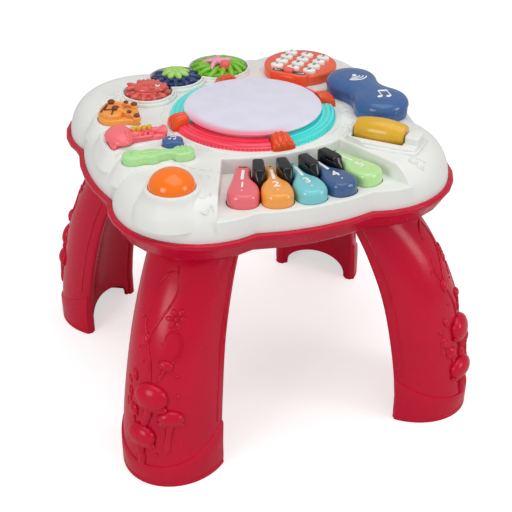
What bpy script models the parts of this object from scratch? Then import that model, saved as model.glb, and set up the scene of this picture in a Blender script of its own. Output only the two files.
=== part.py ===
"""Musical activity table for a small child, as separate pieces.

Metres, +Z up. The origin is on the ground under the middle of the table, and the
keyboard faces -Y. Heights are above the ground.
"""

import math

import bmesh
import bpy
from mathutils import Matrix, Vector

# Plan outline: four corner lobes and four side lobes
CORNER_CENTRE = 0.0769
CORNER_RADIUS = 0.0735
SIDE_CROWN = 0.153
SIDE_RADIUS = 0.194
CORNER_STEPS = 10
SIDE_STEPS = 4

# Heights of the housing
TRAY_BOTTOM = 0.2085
TRAY_DEPTH = 0.0193
COVER_RISE = 0.0329
KEYBOARD_DROP = 0.0147
RIM_HEIGHT = TRAY_BOTTOM + TRAY_DEPTH
DECK_HEIGHT = RIM_HEIGHT + COVER_RISE
SHELF_HEIGHT = DECK_HEIGHT - KEYBOARD_DROP

# Walls and clearances
COVER_WALL = 0.0024
SHELF_WALL = 0.0022
TRAY_WALL = 0.0025
GAP = 0.0003
RUNNING_GAP = 0.0005
OVERRUN = 0.004
MERGE_DISTANCE = 0.000001

# Cover edge
COVER_LAP = 0.0038
ROLL_WIDTH = 0.026
ROLL_POWER = 2.0
ROLL_HEIGHT_SHARES = (0.0, 0.5, 0.78, 0.93, 1.0)

# Tray rim: how far each step stands out of the cover, and its depth below the rim
RIM_OUT = 0.0050
RIM_STEP_OUT = 0.0036
RIM_LEDGE_OUT = 0.0020
RIM_LIP_DEPTH = 0.0035
RIM_STEP_DEPTH = 0.0061
RIM_ROUND = 0.0009
SKIRT_IN = 0.0025
SKIRT_ROUND = 0.0035

# Keyboard recess
RECESS_BACK_Y = 0.0817
RECESS_BACK_RADIUS = 0.155
RECESS_BACK_HALF = 0.0545
RECESS_FRONT_HALF = 0.087
RECESS_FRONT_Y = 0.152
RECESS_REACH = 0.03
RECESS_ARC_STEPS = 6

# Keys fan out from the middle of the table
KEY_COUNT = 5
KEY_PITCH = math.radians(11.9)
KEY_BACK = 0.0932
KEY_LENGTH = 0.0558
KEY_HALF_WIDTH = 0.0135
KEY_STAND = 0.0112
KEY_TOP = SHELF_HEIGHT + KEY_STAND
KEY_SKIRT = 0.0078
KEY_WALL = 0.0015
KEY_EDGE = 0.0032
KEY_PRESS = math.radians(3.2)
KEY_WINDOW_GAP = 0.0007
KEY_SHARES = (
    (0.0, 0.33), (0.17, 0.36), (0.33, 0.41), (0.43, 0.58), (0.51, 0.80), (0.61, 0.95),
    (0.76, 1.0), (0.87, 0.92), (0.94, 0.73), (0.985, 0.42),
)
KEY_STRAIGHT_SHARES = (
    (0.0, 0.70), (0.17, 0.75), (0.33, 0.80), (0.43, 0.84), (0.51, 0.88), (0.61, 0.95),
    (0.76, 1.0), (0.87, 0.92), (0.94, 0.73), (0.985, 0.42),
)
HINGE_SETBACK = 0.0026
HINGE_DROP = 0.0050
HINGE_PIN_RADIUS = 0.0012
HINGE_PIN_REACH = 0.0016
HINGE_SOCKET_DEPTH = 0.0003

# Black keys: one fixed moulding whose blocks stand in the gaps between the keys
BLACK_CLEARANCE = 0.0006
BLACK_WAIST_STAND = 0.0100
BLACK_STAND = 0.0185
BLACK_WAIST_HEIGHT = SHELF_HEIGHT + BLACK_WAIST_STAND
BLACK_TOP = SHELF_HEIGHT + BLACK_STAND
BLACK_EDGE = 0.0014
BLACK_NOSE_SHARE = 0.52
BLACK_WINDOW_SHARE = 0.60
BLACK_CROWN_SHARE = 0.40
BLACK_BAR_BACK = 0.0850
BLACK_BAR_DEPTH = 0.0066
BLACK_BAR_HEIGHT = 0.0060
BLACK_EAR = 0.0030
BLACK_WINDOW_GAP = 0.0004
BLACK_BAR_STEPS = 10

# Drum pad and the lit ring round it
DRUM_RADIUS = 0.0623
DRUM_STAND = 0.0108
DRUM_EDGE_HEIGHT = DECK_HEIGHT + DRUM_STAND
DRUM_CROWN = 0.0022
DRUM_EDGE = 0.0022
DRUM_WALL = 0.0022
DRUM_SKIRT_RADIUS = 0.0548
DRUM_FLANGE = 0.0024
DRUM_FLANGE_THICK = 0.0018
DRUM_TRAVEL = 0.0020
RING_INNER = 0.0570
RING_OUTER = 0.0750
RING_STAND = 0.0057
RING_TOP = DECK_HEIGHT + RING_STAND
RING_STEPS = 8
RING_SHARES = ((1.0, 0.0), (0.97, 0.42), (0.84, 0.76), (0.6, 0.95), (0.3, 1.0), (0.0, 0.9), (0.0, 0.0))
CLIP_INNER = 0.0634
CLIP_OUTER = 0.0790
CLIP_STAND = 0.0128
CLIP_TOP = DECK_HEIGHT + CLIP_STAND
CLIP_SPAN = math.radians(15.5)
CLIP_CLEARANCE_ANGLE = math.radians(0.35)
CLIP_SHARES = ((1.0, 0.0), (1.0, 0.32), (0.86, 0.66), (0.6, 0.90), (0.25, 1.0), (0.0, 0.96), (0.0, 0.0))

# Three meshing gears in one raised cup
GEAR_TOOTH = 0.00185
GEAR_TEETH = {"blue": 12, "green": 14, "coral": 11}
GEAR_BLUE_PLACE = (-0.0421, 0.0985)
GEAR_GREEN_ANGLE = math.radians(12.25)
GEAR_CORAL_ANGLE = math.radians(215.15)
GEAR_HALF_DEPTH = 0.0022
GEAR_BACKLASH = 0.00035
GEAR_TOOTH_SHARE = 0.56
GEAR_ROUND_SHARE = 0.6
GEAR_STEPS = 6
GEAR_LIFT = 0.0005
GEAR_RIM_HEIGHT = 0.0062
GEAR_EDGE = 0.0009
GEAR_HUB_SHARE = 0.62
GEAR_HUB_HEIGHT = 0.0080
CUP_CLEARANCE = 0.0008
CUP_WALL = 0.0012
CUP_HEIGHT = 0.0053
POST_RADIUS = 0.0035
POST_HEIGHT = 0.0078
STAR_RADIUS = 0.0165
STAR_HEIGHT = 0.0030
STAR_KNOB_RADIUS = 0.0060
STAR_KNOB_HEIGHT = 0.0068
FLOWER_RADIUS = 0.0135
FLOWER_HEIGHT = 0.0032
FLOWER_KNOB_RADIUS = 0.0045
FLOWER_KNOB_HEIGHT = 0.0048
CAP_EDGE = 0.0009
ANIMAL_HALF_LENGTH = 0.0180
ANIMAL_HALF_WIDTH = 0.0125
ANIMAL_HEIGHT = 0.0062

# Keypad with a slide switch, on the back right corner
KEYPAD_REACH = 0.1118
KEYPAD_RADIUS = 0.0352
KEYPAD_STAND = 0.0095
KEYPAD_TOP = DECK_HEIGHT + KEYPAD_STAND
KEYPAD_WALL = 0.0020
KEYPAD_EDGE = 0.0012
BAR_SETBACK = 0.0287
BAR_HALF_LENGTH = 0.0200
BAR_HALF_WIDTH = 0.0054
BAR_ROUND = 0.0030
BAR_STAND = 0.0018
BAR_TOP = KEYPAD_TOP + BAR_STAND
NUMBER_ROWS = 4
NUMBER_ROW_PITCH = 0.0119
NUMBER_COLUMN_PITCH = 0.0168
NUMBER_SETBACK = 0.0003
NUMBER_HALF_LENGTH = 0.0064
NUMBER_HALF_WIDTH = 0.0046
NUMBER_STAND = 0.0036
NUMBER_EDGE = 0.0011
NUMBER_FLANGE = 0.0007
NUMBER_FLANGE_THICK = 0.0014
NUMBER_TRAVEL = 0.0015
KNOB_HALF_LENGTH = 0.0042
KNOB_HALF_WIDTH = 0.0034
KNOB_STAND = 0.0034
KNOB_NECK = 0.0014
KNOB_FOOT = 0.0010
KNOB_FOOT_THICK = 0.0012
KNOB_TRAVEL = 0.0100

# Handset lying on the right side
HANDSET_BACK_PLACE = (0.1055, 0.0170)
HANDSET_BACK_RADIUS = 0.0240
HANDSET_FRONT_PLACE = (0.1110, -0.0350)
HANDSET_FRONT_RADIUS = 0.0250
HANDSET_WAIST_HALF = 0.0175
HANDSET_TURN = math.radians(118)
HANDSET_STEPS = 10
HANDSET_WAIST_STEPS = 3
HANDSET_SEAM = 0.0088
HANDSET_HEIGHT = 0.0182
HANDSET_EDGE = 0.0060
HANDSET_WALL = 0.0022
CRADLE_HALF_LENGTH = 0.016
CRADLE_HALF_WIDTH = 0.007
CRADLE_HEIGHT = 0.0016
HANDSET_LIFT = 0.060

# Roller on the front right corner
ROLLER_REACH = 0.1223
ROLLER_HALF_LENGTH = 0.0222
ROLLER_MID_RADIUS = 0.0120
ROLLER_END_RADIUS = 0.0092
ROLLER_STAND = 0.0078
ROLLER_HEIGHT = DECK_HEIGHT + ROLLER_STAND
ROLLER_STEPS = 6
AXLE_RADIUS = 0.0016
WELL_MARGIN = 0.0012
FRAME_HALF_WIDTH = 0.0200
FRAME_END_SHARE = 0.87
FRAME_HEIGHT = 0.0048
FRAME_INNER_END = 0.0055
FRAME_OUTER_END = 0.0140
END_BLOCK_HALF = 0.0080
END_BLOCK_STAND = 0.0115
END_BLOCK_TOP = DECK_HEIGHT + END_BLOCK_STAND

# Dome button on the front left corner
DOME_REACH = 0.1560
DOME_RADIUS = 0.0193
DOME_HEIGHT = 0.0146
DOME_WALL = 0.0020
DOME_DEPTH = 0.0270
DOME_FLANGE = 0.0012
DOME_FLANGE_THICK = 0.0018
DOME_STEPS = 5
DOME_TRAVEL = 0.0025
BEZEL_WIDTH = 0.0040
BEZEL_STAND = 0.0033
BEZEL_TOP = DECK_HEIGHT + BEZEL_STAND
BEZEL_DEPTH = 0.0245

# Picture buttons on the left side: outline points as shares of half length and half width
PLATFORM_LIFT = 0.0012
PLATFORM_MARGIN = 0.0026
POCKET_DROP = 0.0042
POCKET_WALL = 0.0018
BUTTON_EDGE = 0.0011
BUTTON_TRAVEL = 0.0024
PLUNGER_RADIUS = 0.0036
PLUNGER_FLANGE = 0.0014
PLUNGER_FLANGE_THICK = 0.0016
BUTTONS = {
    "trumpet_button": {
        "place": (-0.1115, -0.0115), "turn": math.radians(-3), "half": (0.0265, 0.0195), "stand": 0.0106,
        "plunger_share": (-0.55, 0.0), "colour": "trumpet_pink",
        "shares": (
            (-1.0, 0.92), (-0.93, 1.0), (-0.74, 0.72), (-0.52, 0.52), (-0.20, 0.42), (0.30, 0.42), (0.52, 0.34),
            (0.62, 0.42), (0.84, 0.44), (1.0, 0.16), (1.0, -0.16), (0.84, -0.44), (0.62, -0.42), (0.52, -0.34),
            (0.30, -0.42), (-0.20, -0.42), (-0.52, -0.52), (-0.74, -0.72), (-0.93, -1.0), (-1.0, -0.92),
        ),
    },
    "toy_drum_button": {
        "place": (-0.1155, 0.0370), "turn": math.radians(-12), "half": (0.0190, 0.0210), "stand": 0.0108,
        "plunger_share": (-0.20, -0.10), "colour": "drum_orange",
        "shares": (
            (-1.0, 0.10), (-0.86, -0.64), (-0.44, -0.90), (0.10, -0.92), (0.42, -0.84), (0.74, -1.0), (1.0, -0.88),
            (0.92, -0.62), (0.70, -0.46), (0.72, -0.10), (1.0, 0.20), (0.94, 0.50), (0.62, 0.50),
            (0.30, 0.86), (-0.16, 1.0), (-0.66, 0.66),
        ),
    },
    "guitar_button": {
        "place": (-0.1055, -0.0575), "turn": math.radians(-9), "half": (0.0310, 0.0095), "stand": 0.0103,
        "plunger_share": (-0.50, 0.0), "colour": "guitar_green",
        "shares": (
            (-1.0, 0.0), (-0.95, -0.62), (-0.78, -1.0), (-0.56, -0.94), (-0.40, -0.70), (-0.20, -0.94),
            (-0.02, -0.70), (0.06, -0.36), (0.38, -0.36), (0.44, -0.80), (0.66, -0.92), (0.90, -0.74), (1.0, 0.0),
            (0.90, 0.74), (0.66, 0.92), (0.44, 0.80), (0.38, 0.36), (0.06, 0.36), (-0.02, 0.70),
            (-0.20, 0.94), (-0.40, 0.70), (-0.56, 0.94), (-0.78, 1.0), (-0.95, 0.62),
        ),
    },
    "note_button": {
        "place": (-0.0862, -0.0345), "turn": math.radians(-20), "half": (0.0095, 0.0080), "stand": 0.0078,
        "plunger_share": (0.0, 0.0), "colour": "handset_blue",
        "shares": (
            (-1.0, 0.0), (-0.84, -0.62), (-0.36, -0.96), (0.36, -0.96), (0.84, -0.62), (1.0, 0.0),
            (0.84, 0.62), (0.36, 0.96), (-0.36, 0.96), (-0.84, 0.62),
        ),
    },
}
VALVE_SHARES = (-0.12, 0.06, 0.24, 0.42)
VALVE_RADIUS = 0.0021
VALVE_STAND = 0.0018

# Legs: hollow, with a round outside and a dished inner face towards the middle
LEG_SPAN = TRAY_BOTTOM - GAP
LEG_FOOT = (0.1671, 0.0455, 0.0510)
LEG_LEVEL_SHARES = (0.36, 0.60, 0.80, 0.92)
LEG_LEVELS = (
    (0.1606, 0.0444, 0.0500), (0.1482, 0.0421, 0.0497), (0.1306, 0.0408, 0.0462), (0.1163, 0.0404, 0.0405),
)
LEG_TOP = (0.1050, 0.0403, 0.0360)
LEG_WALL = 0.0026
LEG_OUTER_STEPS = 12
LEG_INNER_STEPS = 4
LEG_DISH = 0.0090
TOE_WIDTH = 0.0088
TOE_ROUND = 0.0030
CUFF_OUT = 0.0018
CUFF_STEP = 0.0016
CUFF_HIGH = 0.0450
CUFF_LOW = 0.0205
ARCH_HEIGHT = 0.0200
ARCH_HALF = 0.0345
ARCH_STEPS = 10
ARCH_POWER = 0.7
SPIGOT_HALF = 0.0330
SPIGOT_DEPTH = 0.0300
SPIGOT_LENGTH = 0.0115
SPIGOT_WALL = 0.0026
SPIGOT_STEPS = 8
SOCKET_WALL = 0.0020

# Inside the housing
SCREW_ANGLES = {
    "housing_screw_left": math.radians(176), "housing_screw_right": 0.0, "housing_screw_back": math.radians(90),
}
SCREW_REACH = 0.0950
SCREW_HEAD_RADIUS = 0.0030
SCREW_HEAD_HEIGHT = 0.0018
SCREW_SHANK_RADIUS = 0.0015
SCREW_BITE = 0.0100
SCREW_BOSS_RADIUS = 0.0050
SCREW_BOSS_HEIGHT = 0.0060
SCREW_SEAT = 0.0026
BOARD_HALF = (0.0430, 0.0150)
BOARD_PLACE_Y = -0.0050
BOARD_THICK = 0.0016
BOARD_STAND = 0.0295
BOARD_HEIGHT = TRAY_BOTTOM + BOARD_STAND
BOARD_POST_SHARE = 0.86
BOARD_POST_RADIUS = 0.0024
CHIP_HALF = 0.0070
CHIP_HEIGHT = 0.0018
SPEAKER_PLACE_Y = -0.0500
SPEAKER_RADIUS = 0.0250
SPEAKER_RIM = 0.0022
SPEAKER_NECK = 0.0140
SPEAKER_NECK_HEIGHT = 0.0100
SPEAKER_MAGNET = 0.0160
SPEAKER_HEIGHT = 0.0170
GRILLE_HOLE = 0.0024
GRILLE_PITCH = 0.0095
GRILLE_COUNT = 6
BATTERY_PLACE_Y = 0.0420
BATTERY_RADIUS = 0.00715
BATTERY_LENGTH = 0.0495
BATTERY_NUB = 0.0010
BATTERY_NUB_RADIUS = 0.0027
BATTERY_COUNT = 3
BATTERY_PITCH = 0.0160
BAY_MARGIN = 0.0006
BAY_WALL = 0.0022
DOOR_THICK = 0.0020
DOOR_LEDGE = 0.0080
DOOR_SCREW_BITE = 0.0050
DOOR_SCREW_HEAD = 0.0012

ROUND_STEPS = 32
SMALL_STEPS = 12
QUARTER = math.pi / 2
CORNER_ANGLES = {
    "front_left": math.radians(-135), "front_right": math.radians(-45), "back_right": math.radians(45),
    "back_left": math.radians(135),
}

COLOURS = {
    "cream": (0.86, 0.845, 0.80), "crimson": (0.58, 0.012, 0.045), "lavender": (0.73, 0.71, 0.83),
    "ring_red": (0.92, 0.03, 0.08), "ring_teal": (0.03, 0.75, 0.70), "clip_orange": (0.80, 0.10, 0.015),
    "key_1": (0.86, 0.155, 0.18), "key_2": (0.91, 0.38, 0.07), "key_3": (0.20, 0.61, 0.65),
    "key_4": (0.05, 0.11, 0.28), "key_5": (0.38, 0.74, 0.26), "black": (0.012, 0.012, 0.014),
    "gear_green": (0.20, 0.50, 0.04), "gear_blue": (0.018, 0.04, 0.17), "gear_coral": (0.66, 0.11, 0.08),
    "petal_pink": (0.80, 0.42, 0.58), "petal_green": (0.46, 0.68, 0.20), "keypad_orange": (0.86, 0.13, 0.035),
    "number_white": (0.84, 0.83, 0.80), "knob_pink": (0.85, 0.13, 0.17), "handset_blue": (0.05, 0.13, 0.33),
    "roller_yellow": (0.73, 0.43, 0.03), "dome_orange": (0.95, 0.23, 0.008), "drum_orange": (0.85, 0.34, 0.06),
    "trumpet_pink": (0.88, 0.16, 0.20), "guitar_green": (0.45, 0.78, 0.34), "board_green": (0.02, 0.20, 0.06),
    "metal": (0.55, 0.55, 0.56), "cell_grey": (0.30, 0.30, 0.32),
}
METALS = ("metal", "cell_grey")


def clear_scene():
    for obj in list(bpy.data.objects):
        bpy.data.objects.remove(obj, do_unlink=True)


def collection(name):
    found = bpy.data.collections.get(name)
    if found is None:
        found = bpy.data.collections.new(name)
        bpy.context.scene.collection.children.link(found)
    return found


def material(name, roughness=0.35):
    found = bpy.data.materials.get(name)
    if found is None:
        found = bpy.data.materials.new(name)
        found.use_nodes = True
        shader = found.node_tree.nodes["Principled BSDF"]
        shader.inputs["Base Color"].default_value = COLOURS[name] + (1.0,)
        shader.inputs["Roughness"].default_value = roughness
        shader.inputs["Metallic"].default_value = 1.0 if name in METALS else 0.0
        found.diffuse_color = COLOURS[name] + (1.0,)
    return found


def add_object(name, mesh, colour=None):
    """A piece of the table when it has a colour, and otherwise a cutter or a guide."""
    obj = bpy.data.objects.new(name, mesh)
    if colour is None:
        collection("Shaping tools").objects.link(obj)
        obj.hide_render = True
        obj.display_type = "WIRE"
    else:
        collection("Musical activity table").objects.link(obj)
        mesh.materials.clear()
        mesh.materials.append(material(colour))
        mesh.shade_smooth()
        mesh.set_sharp_from_angle(angle=math.radians(32))
    return obj


def mesh_object(name, bm, colour=None):
    bmesh.ops.recalc_face_normals(bm, faces=bm.faces)
    mesh = bpy.data.meshes.new(name)
    bm.to_mesh(mesh)
    bm.free()
    return add_object(name, mesh, colour)


def boolean(obj, tool, operation):
    step = obj.modifiers.new(tool.name, "BOOLEAN")
    step.operation = operation
    step.solver = "EXACT"
    step.object = tool


def cut(obj, *tools):
    for tool in tools:
        boolean(obj, tool, "DIFFERENCE")


def join(obj, *tools):
    for tool in tools:
        boolean(obj, tool, "UNION")


def set_origin(obj, place):
    """Put the object's origin on its joint without moving its shape."""
    obj.data.transform(Matrix.Translation(-Vector(place)))
    obj.location = place


def polar(reach, angle):
    return reach * math.cos(angle), reach * math.sin(angle)


def turned(points, angle, place=(0.0, 0.0)):
    """Plan points turned about the origin, then moved to a place."""
    c, s = math.cos(angle), math.sin(angle)
    return [(place[0] + c * x - s * y, place[1] + s * x + c * y) for x, y in points]


def rounded(half_x, half_y, radius, steps=3):
    """Rectangle with round corners."""
    points = []
    for quarter, (sx, sy) in enumerate(((1, 1), (-1, 1), (-1, -1), (1, -1))):
        for k in range(steps + 1):
            a = QUARTER * (quarter + k / steps)
            points.append((sx * (half_x - radius) + radius * math.cos(a),
                           sy * (half_y - radius) + radius * math.sin(a)))
    return points


def offset(points, distance):
    """A closed outline moved outwards by a distance."""
    count = len(points)
    area = sum(points[k - 1][0] * points[k][1] - points[k][0] * points[k - 1][1] for k in range(count))
    side = distance if area > 0 else -distance
    moved = []
    for k, (x, y) in enumerate(points):
        ax, ay = points[k - 1]
        bx, by = points[(k + 1) % count]
        first = Vector((y - ay, ax - x)).normalized()
        second = Vector((by - y, x - bx)).normalized()
        middle = (first + second).normalized()
        reach = side / max(middle.dot(first), 0.5)
        moved.append((x + middle.x * reach, y + middle.y * reach))
    return moved


def at_height(points, z):
    return [(x, y, z) for x, y in points]


def loft(name, rings, colour=None):
    """Skin from ring to ring, closed at both ends."""
    bm = bmesh.new()
    loops = [[bm.verts.new(p) for p in ring] for ring in rings]
    for low, high in zip(loops, loops[1:]):
        for k in range(len(low)):
            n = (k + 1) % len(low)
            bm.faces.new((low[k], low[n], high[n], high[k]))
    bm.faces.new(loops[0])
    bm.faces.new(loops[-1])
    return mesh_object(name, bm, colour)


def round_top(bm, high, edge, steps):
    """Round the upper rim of a block."""
    rim = [e for e in bm.edges if all(v.co.z > high - MERGE_DISTANCE for v in e.verts)]
    bmesh.ops.bevel(bm, geom=rim, offset=edge, segments=steps, profile=0.5, affect="EDGES")


def prism(name, points, low, high, colour=None, edge=0.0, edge_steps=2):
    """A flat outline given its height, with its upper rim rounded if it has an edge."""
    curve = bpy.data.curves.new(name, "CURVE")
    curve.dimensions = "2D"
    curve.fill_mode = "BOTH"
    curve.extrude = (high - low) / 2
    line = curve.splines.new("POLY")
    line.points.add(len(points) - 1)
    for point, (x, y) in zip(line.points, points):
        point.co = (x, y, 0.0, 1.0)
    line.use_cyclic_u = True
    guide = bpy.data.objects.new(name, curve)
    raw = bpy.data.meshes.new_from_object(guide)
    bpy.data.objects.remove(guide)
    bpy.data.curves.remove(curve)
    bm = bmesh.new()
    bm.from_mesh(raw)
    bpy.data.meshes.remove(raw)
    bmesh.ops.remove_doubles(bm, verts=bm.verts, dist=MERGE_DISTANCE)
    inner = [e for e in bm.edges if len(e.link_faces) == 2 and all(abs(f.normal.z) > 0.9 for f in e.link_faces)]
    bmesh.ops.dissolve_edges(bm, edges=inner, use_verts=False)
    bmesh.ops.translate(bm, verts=bm.verts, vec=(0.0, 0.0, (low + high) / 2))
    if edge:
        round_top(bm, high, edge, edge_steps)
    return mesh_object(name, bm, colour)


def disc(name, radius, low, high, place=(0.0, 0.0), colour=None, steps=ROUND_STEPS, top_radius=None, edge=0.0):
    """An upright cylinder or cone."""
    bm = bmesh.new()
    bmesh.ops.create_cone(bm, cap_ends=True, segments=steps, radius1=radius,
                          radius2=radius if top_radius is None else top_radius, depth=high - low)
    bmesh.ops.translate(bm, verts=bm.verts, vec=(place[0], place[1], (low + high) / 2))
    if edge:
        round_top(bm, high, edge, 2)
    return mesh_object(name, bm, colour)


def box(name, half_x, half_y, low, high, place=(0.0, 0.0), angle=0.0, colour=None):
    """An upright block, turned about its middle."""
    bm = bmesh.new()
    bmesh.ops.create_cube(bm, size=1.0)
    bmesh.ops.scale(bm, verts=bm.verts, vec=(2 * half_x, 2 * half_y, high - low))
    bmesh.ops.rotate(bm, verts=bm.verts, matrix=Matrix.Rotation(angle, 3, "Z"))
    bmesh.ops.translate(bm, verts=bm.verts, vec=(place[0], place[1], (low + high) / 2))
    return mesh_object(name, bm, colour)


def oval(name, half_x, half_y, low, high, place, angle, colour=None, edge=0.0):
    """An upright cylinder with an oval section."""
    bm = bmesh.new()
    bmesh.ops.create_cone(bm, cap_ends=True, segments=SMALL_STEPS, radius1=half_x, radius2=half_x,
                          depth=high - low)
    bmesh.ops.scale(bm, verts=bm.verts, vec=(1.0, half_y / half_x, 1.0))
    bmesh.ops.rotate(bm, verts=bm.verts, matrix=Matrix.Rotation(angle, 3, "Z"))
    bmesh.ops.translate(bm, verts=bm.verts, vec=(place[0], place[1], (low + high) / 2))
    if edge:
        round_top(bm, high, edge, 1)
    return mesh_object(name, bm, colour)


def rod(name, start, end, radius, colour=None, steps=SMALL_STEPS):
    """A round bar between two points."""
    start, end = Vector(start), Vector(end)
    bm = bmesh.new()
    bmesh.ops.create_cone(bm, cap_ends=True, segments=steps, radius1=radius, radius2=radius,
                          depth=(end - start).length)
    turn = Vector((0.0, 0.0, 1.0)).rotation_difference(end - start).to_matrix().to_4x4()
    bmesh.ops.transform(bm, matrix=Matrix.Translation((start + end) / 2) @ turn, verts=bm.verts)
    return mesh_object(name, bm, colour)


def turned_piece(name, profile, colour, steps=ROUND_STEPS, place=(0.0, 0.0, 0.0), axis="Z", closed=False):
    """A turned solid: its profile runs down the outer side, from the axis and back to it."""
    edges = [(k, k + 1) for k in range(len(profile) - 1)]
    if closed:
        edges.append((len(profile) - 1, 0))
    points = [(r, 0.0, z) if axis == "Z" else (z, 0.0, r) for r, z in profile]
    mesh = bpy.data.meshes.new(name)
    mesh.from_pydata(points, edges, [])
    obj = add_object(name, mesh, colour)
    screw = obj.modifiers.new("Turn", "SCREW")
    screw.axis = axis
    screw.steps = steps
    screw.render_steps = steps
    screw.use_merge_vertices = True
    screw.merge_threshold = MERGE_DISTANCE * 10
    obj.location = place
    return obj


def spun_piece(name, shares, inner, outer, low, high, start, span, steps, colour):
    """Part of a ring round the middle of the table."""
    bm = bmesh.new()
    profile = [bm.verts.new((inner + (outer - inner) * r, 0.0, low + (high - low) * z)) for r, z in shares]
    face = bm.faces.new(profile)
    bmesh.ops.rotate(bm, verts=bm.verts, matrix=Matrix.Rotation(start, 3, "Z"))
    bmesh.ops.spin(bm, geom=[face], cent=(0.0, 0.0, 0.0), axis=(0.0, 0.0, 1.0), angle=span, steps=steps)
    return mesh_object(name, bm, colour)


def lobed_outline(outset=0.0):
    """The table's plan outline moved outwards: arcs that meet in eight notches."""
    corner = CORNER_RADIUS + outset
    side = SIDE_RADIUS + outset
    side_centre = SIDE_CROWN - SIDE_RADIUS
    reach = Vector((CORNER_CENTRE, CORNER_CENTRE - side_centre))
    along = (side ** 2 - corner ** 2 + reach.length_squared) / (2 * reach.length)
    across = math.sqrt(side ** 2 - along ** 2)
    unit = reach.normalized()
    notch = Vector((0.0, side_centre)) + unit * along + Vector((-unit.y, unit.x)) * across
    start = math.atan2(notch.x - CORNER_CENTRE, notch.y - CORNER_CENTRE)
    half = math.atan2(notch.x, notch.y - side_centre)
    quarter = []
    for k in range(CORNER_STEPS):
        a = start + 2 * (QUARTER / 2 - start) * k / CORNER_STEPS
        quarter.append((CORNER_CENTRE + corner * math.cos(a), CORNER_CENTRE + corner * math.sin(a)))
    for k in range(SIDE_STEPS):
        a = QUARTER - half + 2 * half * k / SIDE_STEPS
        quarter.append((side * math.cos(a), side_centre + side * math.sin(a)))
    return [p for turn in range(4) for p in turned(quarter, QUARTER * turn)]


def cover_solid(name, wall, colour=None):
    """The cover's outer form, or its hollow when it is given a wall."""
    rise = DECK_HEIGHT - wall - RIM_HEIGHT
    foot = RIM_HEIGHT - COVER_LAP - (OVERRUN if wall else 0.0)
    rings = [at_height(lobed_outline(-wall), foot)]
    for share in ROLL_HEIGHT_SHARES:
        inset = ROLL_WIDTH * (1 - (1 - share ** ROLL_POWER) ** (1 / ROLL_POWER))
        rings.append(at_height(lobed_outline(-wall - inset), RIM_HEIGHT + rise * share))
    return loft(name, rings, colour)


def recess_outline(margin=0.0):
    """Keyboard recess: its back wall is an arc, and it is open at the front."""
    centre = RECESS_BACK_RADIUS - RECESS_BACK_Y
    half = math.asin(RECESS_BACK_HALF / RECESS_BACK_RADIUS)
    points = []
    for k in range(RECESS_ARC_STEPS + 1):
        a = -QUARTER + half - 2 * half * k / RECESS_ARC_STEPS
        points.append((RECESS_BACK_RADIUS * math.cos(a), centre + RECESS_BACK_RADIUS * math.sin(a)))
    slope = (RECESS_FRONT_HALF - RECESS_BACK_HALF) / (RECESS_FRONT_Y + points[-1][1])
    front_y = -(RECESS_FRONT_Y + RECESS_REACH)
    front_half = RECESS_FRONT_HALF + slope * RECESS_REACH
    points += [(-front_half, front_y), (front_half, front_y)]
    return offset(points, margin) if margin else points


def fan_points(flat, angle):
    """Points of the keyboard fan from distances along and across: zero angle is straight ahead."""
    return turned([(across, -along) for along, across in flat], angle)


def key_angle(index):
    return (index - (KEY_COUNT - 1) / 2) * KEY_PITCH


def key_shares(index):
    left = KEY_STRAIGHT_SHARES if index == 0 else KEY_SHARES
    right = KEY_STRAIGHT_SHARES if index == KEY_COUNT - 1 else KEY_SHARES
    return left, right


def key_outline(index, margin=0.0):
    """Plan outline of a key: a neck between the black keys and a wide round front."""
    left, right = key_shares(index)
    flat = [(KEY_BACK + KEY_LENGTH * r, -KEY_HALF_WIDTH * s) for r, s in left]
    flat.append((KEY_BACK + KEY_LENGTH, 0.0))
    flat += [(KEY_BACK + KEY_LENGTH * r, KEY_HALF_WIDTH * s) for r, s in reversed(right)]
    points = fan_points(flat, key_angle(index))
    return offset(points, margin) if margin else points


def hinge_ends(index, extra=0.0):
    """The two ends of a key's hinge pin."""
    left, right = key_shares(index)
    along = KEY_BACK + HINGE_SETBACK
    reach = HINGE_PIN_REACH + extra
    flat = [(along, -KEY_HALF_WIDTH * left[0][1] - reach), (along, KEY_HALF_WIDTH * right[0][1] + reach)]
    z = SHELF_HEIGHT - HINGE_DROP
    return [(x, y, z) for x, y in fan_points(flat, key_angle(index))]


def make_key(index):
    name = f"key_{index + 1}"
    low = SHELF_HEIGHT - KEY_SKIRT
    key = prism(name, key_outline(index), low, KEY_TOP, name, KEY_EDGE)
    bm = bmesh.new()
    bm.from_mesh(key.data)
    under = [f for f in bm.faces if f.calc_center_median().z < low + MERGE_DISTANCE]
    bmesh.ops.delete(bm, geom=under, context="FACES_ONLY")
    bm.to_mesh(key.data)
    bm.free()
    hollow = key.modifiers.new("Hollow", "SOLIDIFY")
    hollow.thickness = KEY_WALL
    hollow.offset = -1.0
    hollow.use_even_offset = True
    join(key, rod(f"{name}_pin", *hinge_ends(index), HINGE_PIN_RADIUS))
    x, y = fan_points([(KEY_BACK + HINGE_SETBACK, 0.0)], key_angle(index))[0]
    set_origin(key, (x, y, SHELF_HEIGHT - HINGE_DROP))


def black_half(along):
    """Half the gap between two keys at a distance from the middle, less a clearance."""
    share = (along - KEY_BACK) / KEY_LENGTH
    for (r0, s0), (r1, s1) in zip(KEY_SHARES, KEY_SHARES[1:]):
        if r0 <= share <= r1:
            width = s0 + (s1 - s0) * (share - r0) / (r1 - r0)
            half = along * math.sin(KEY_PITCH / 2) - KEY_HALF_WIDTH * width - BLACK_CLEARANCE
            return max(half, BLACK_CLEARANCE)
    return BLACK_CLEARANCE


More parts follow.
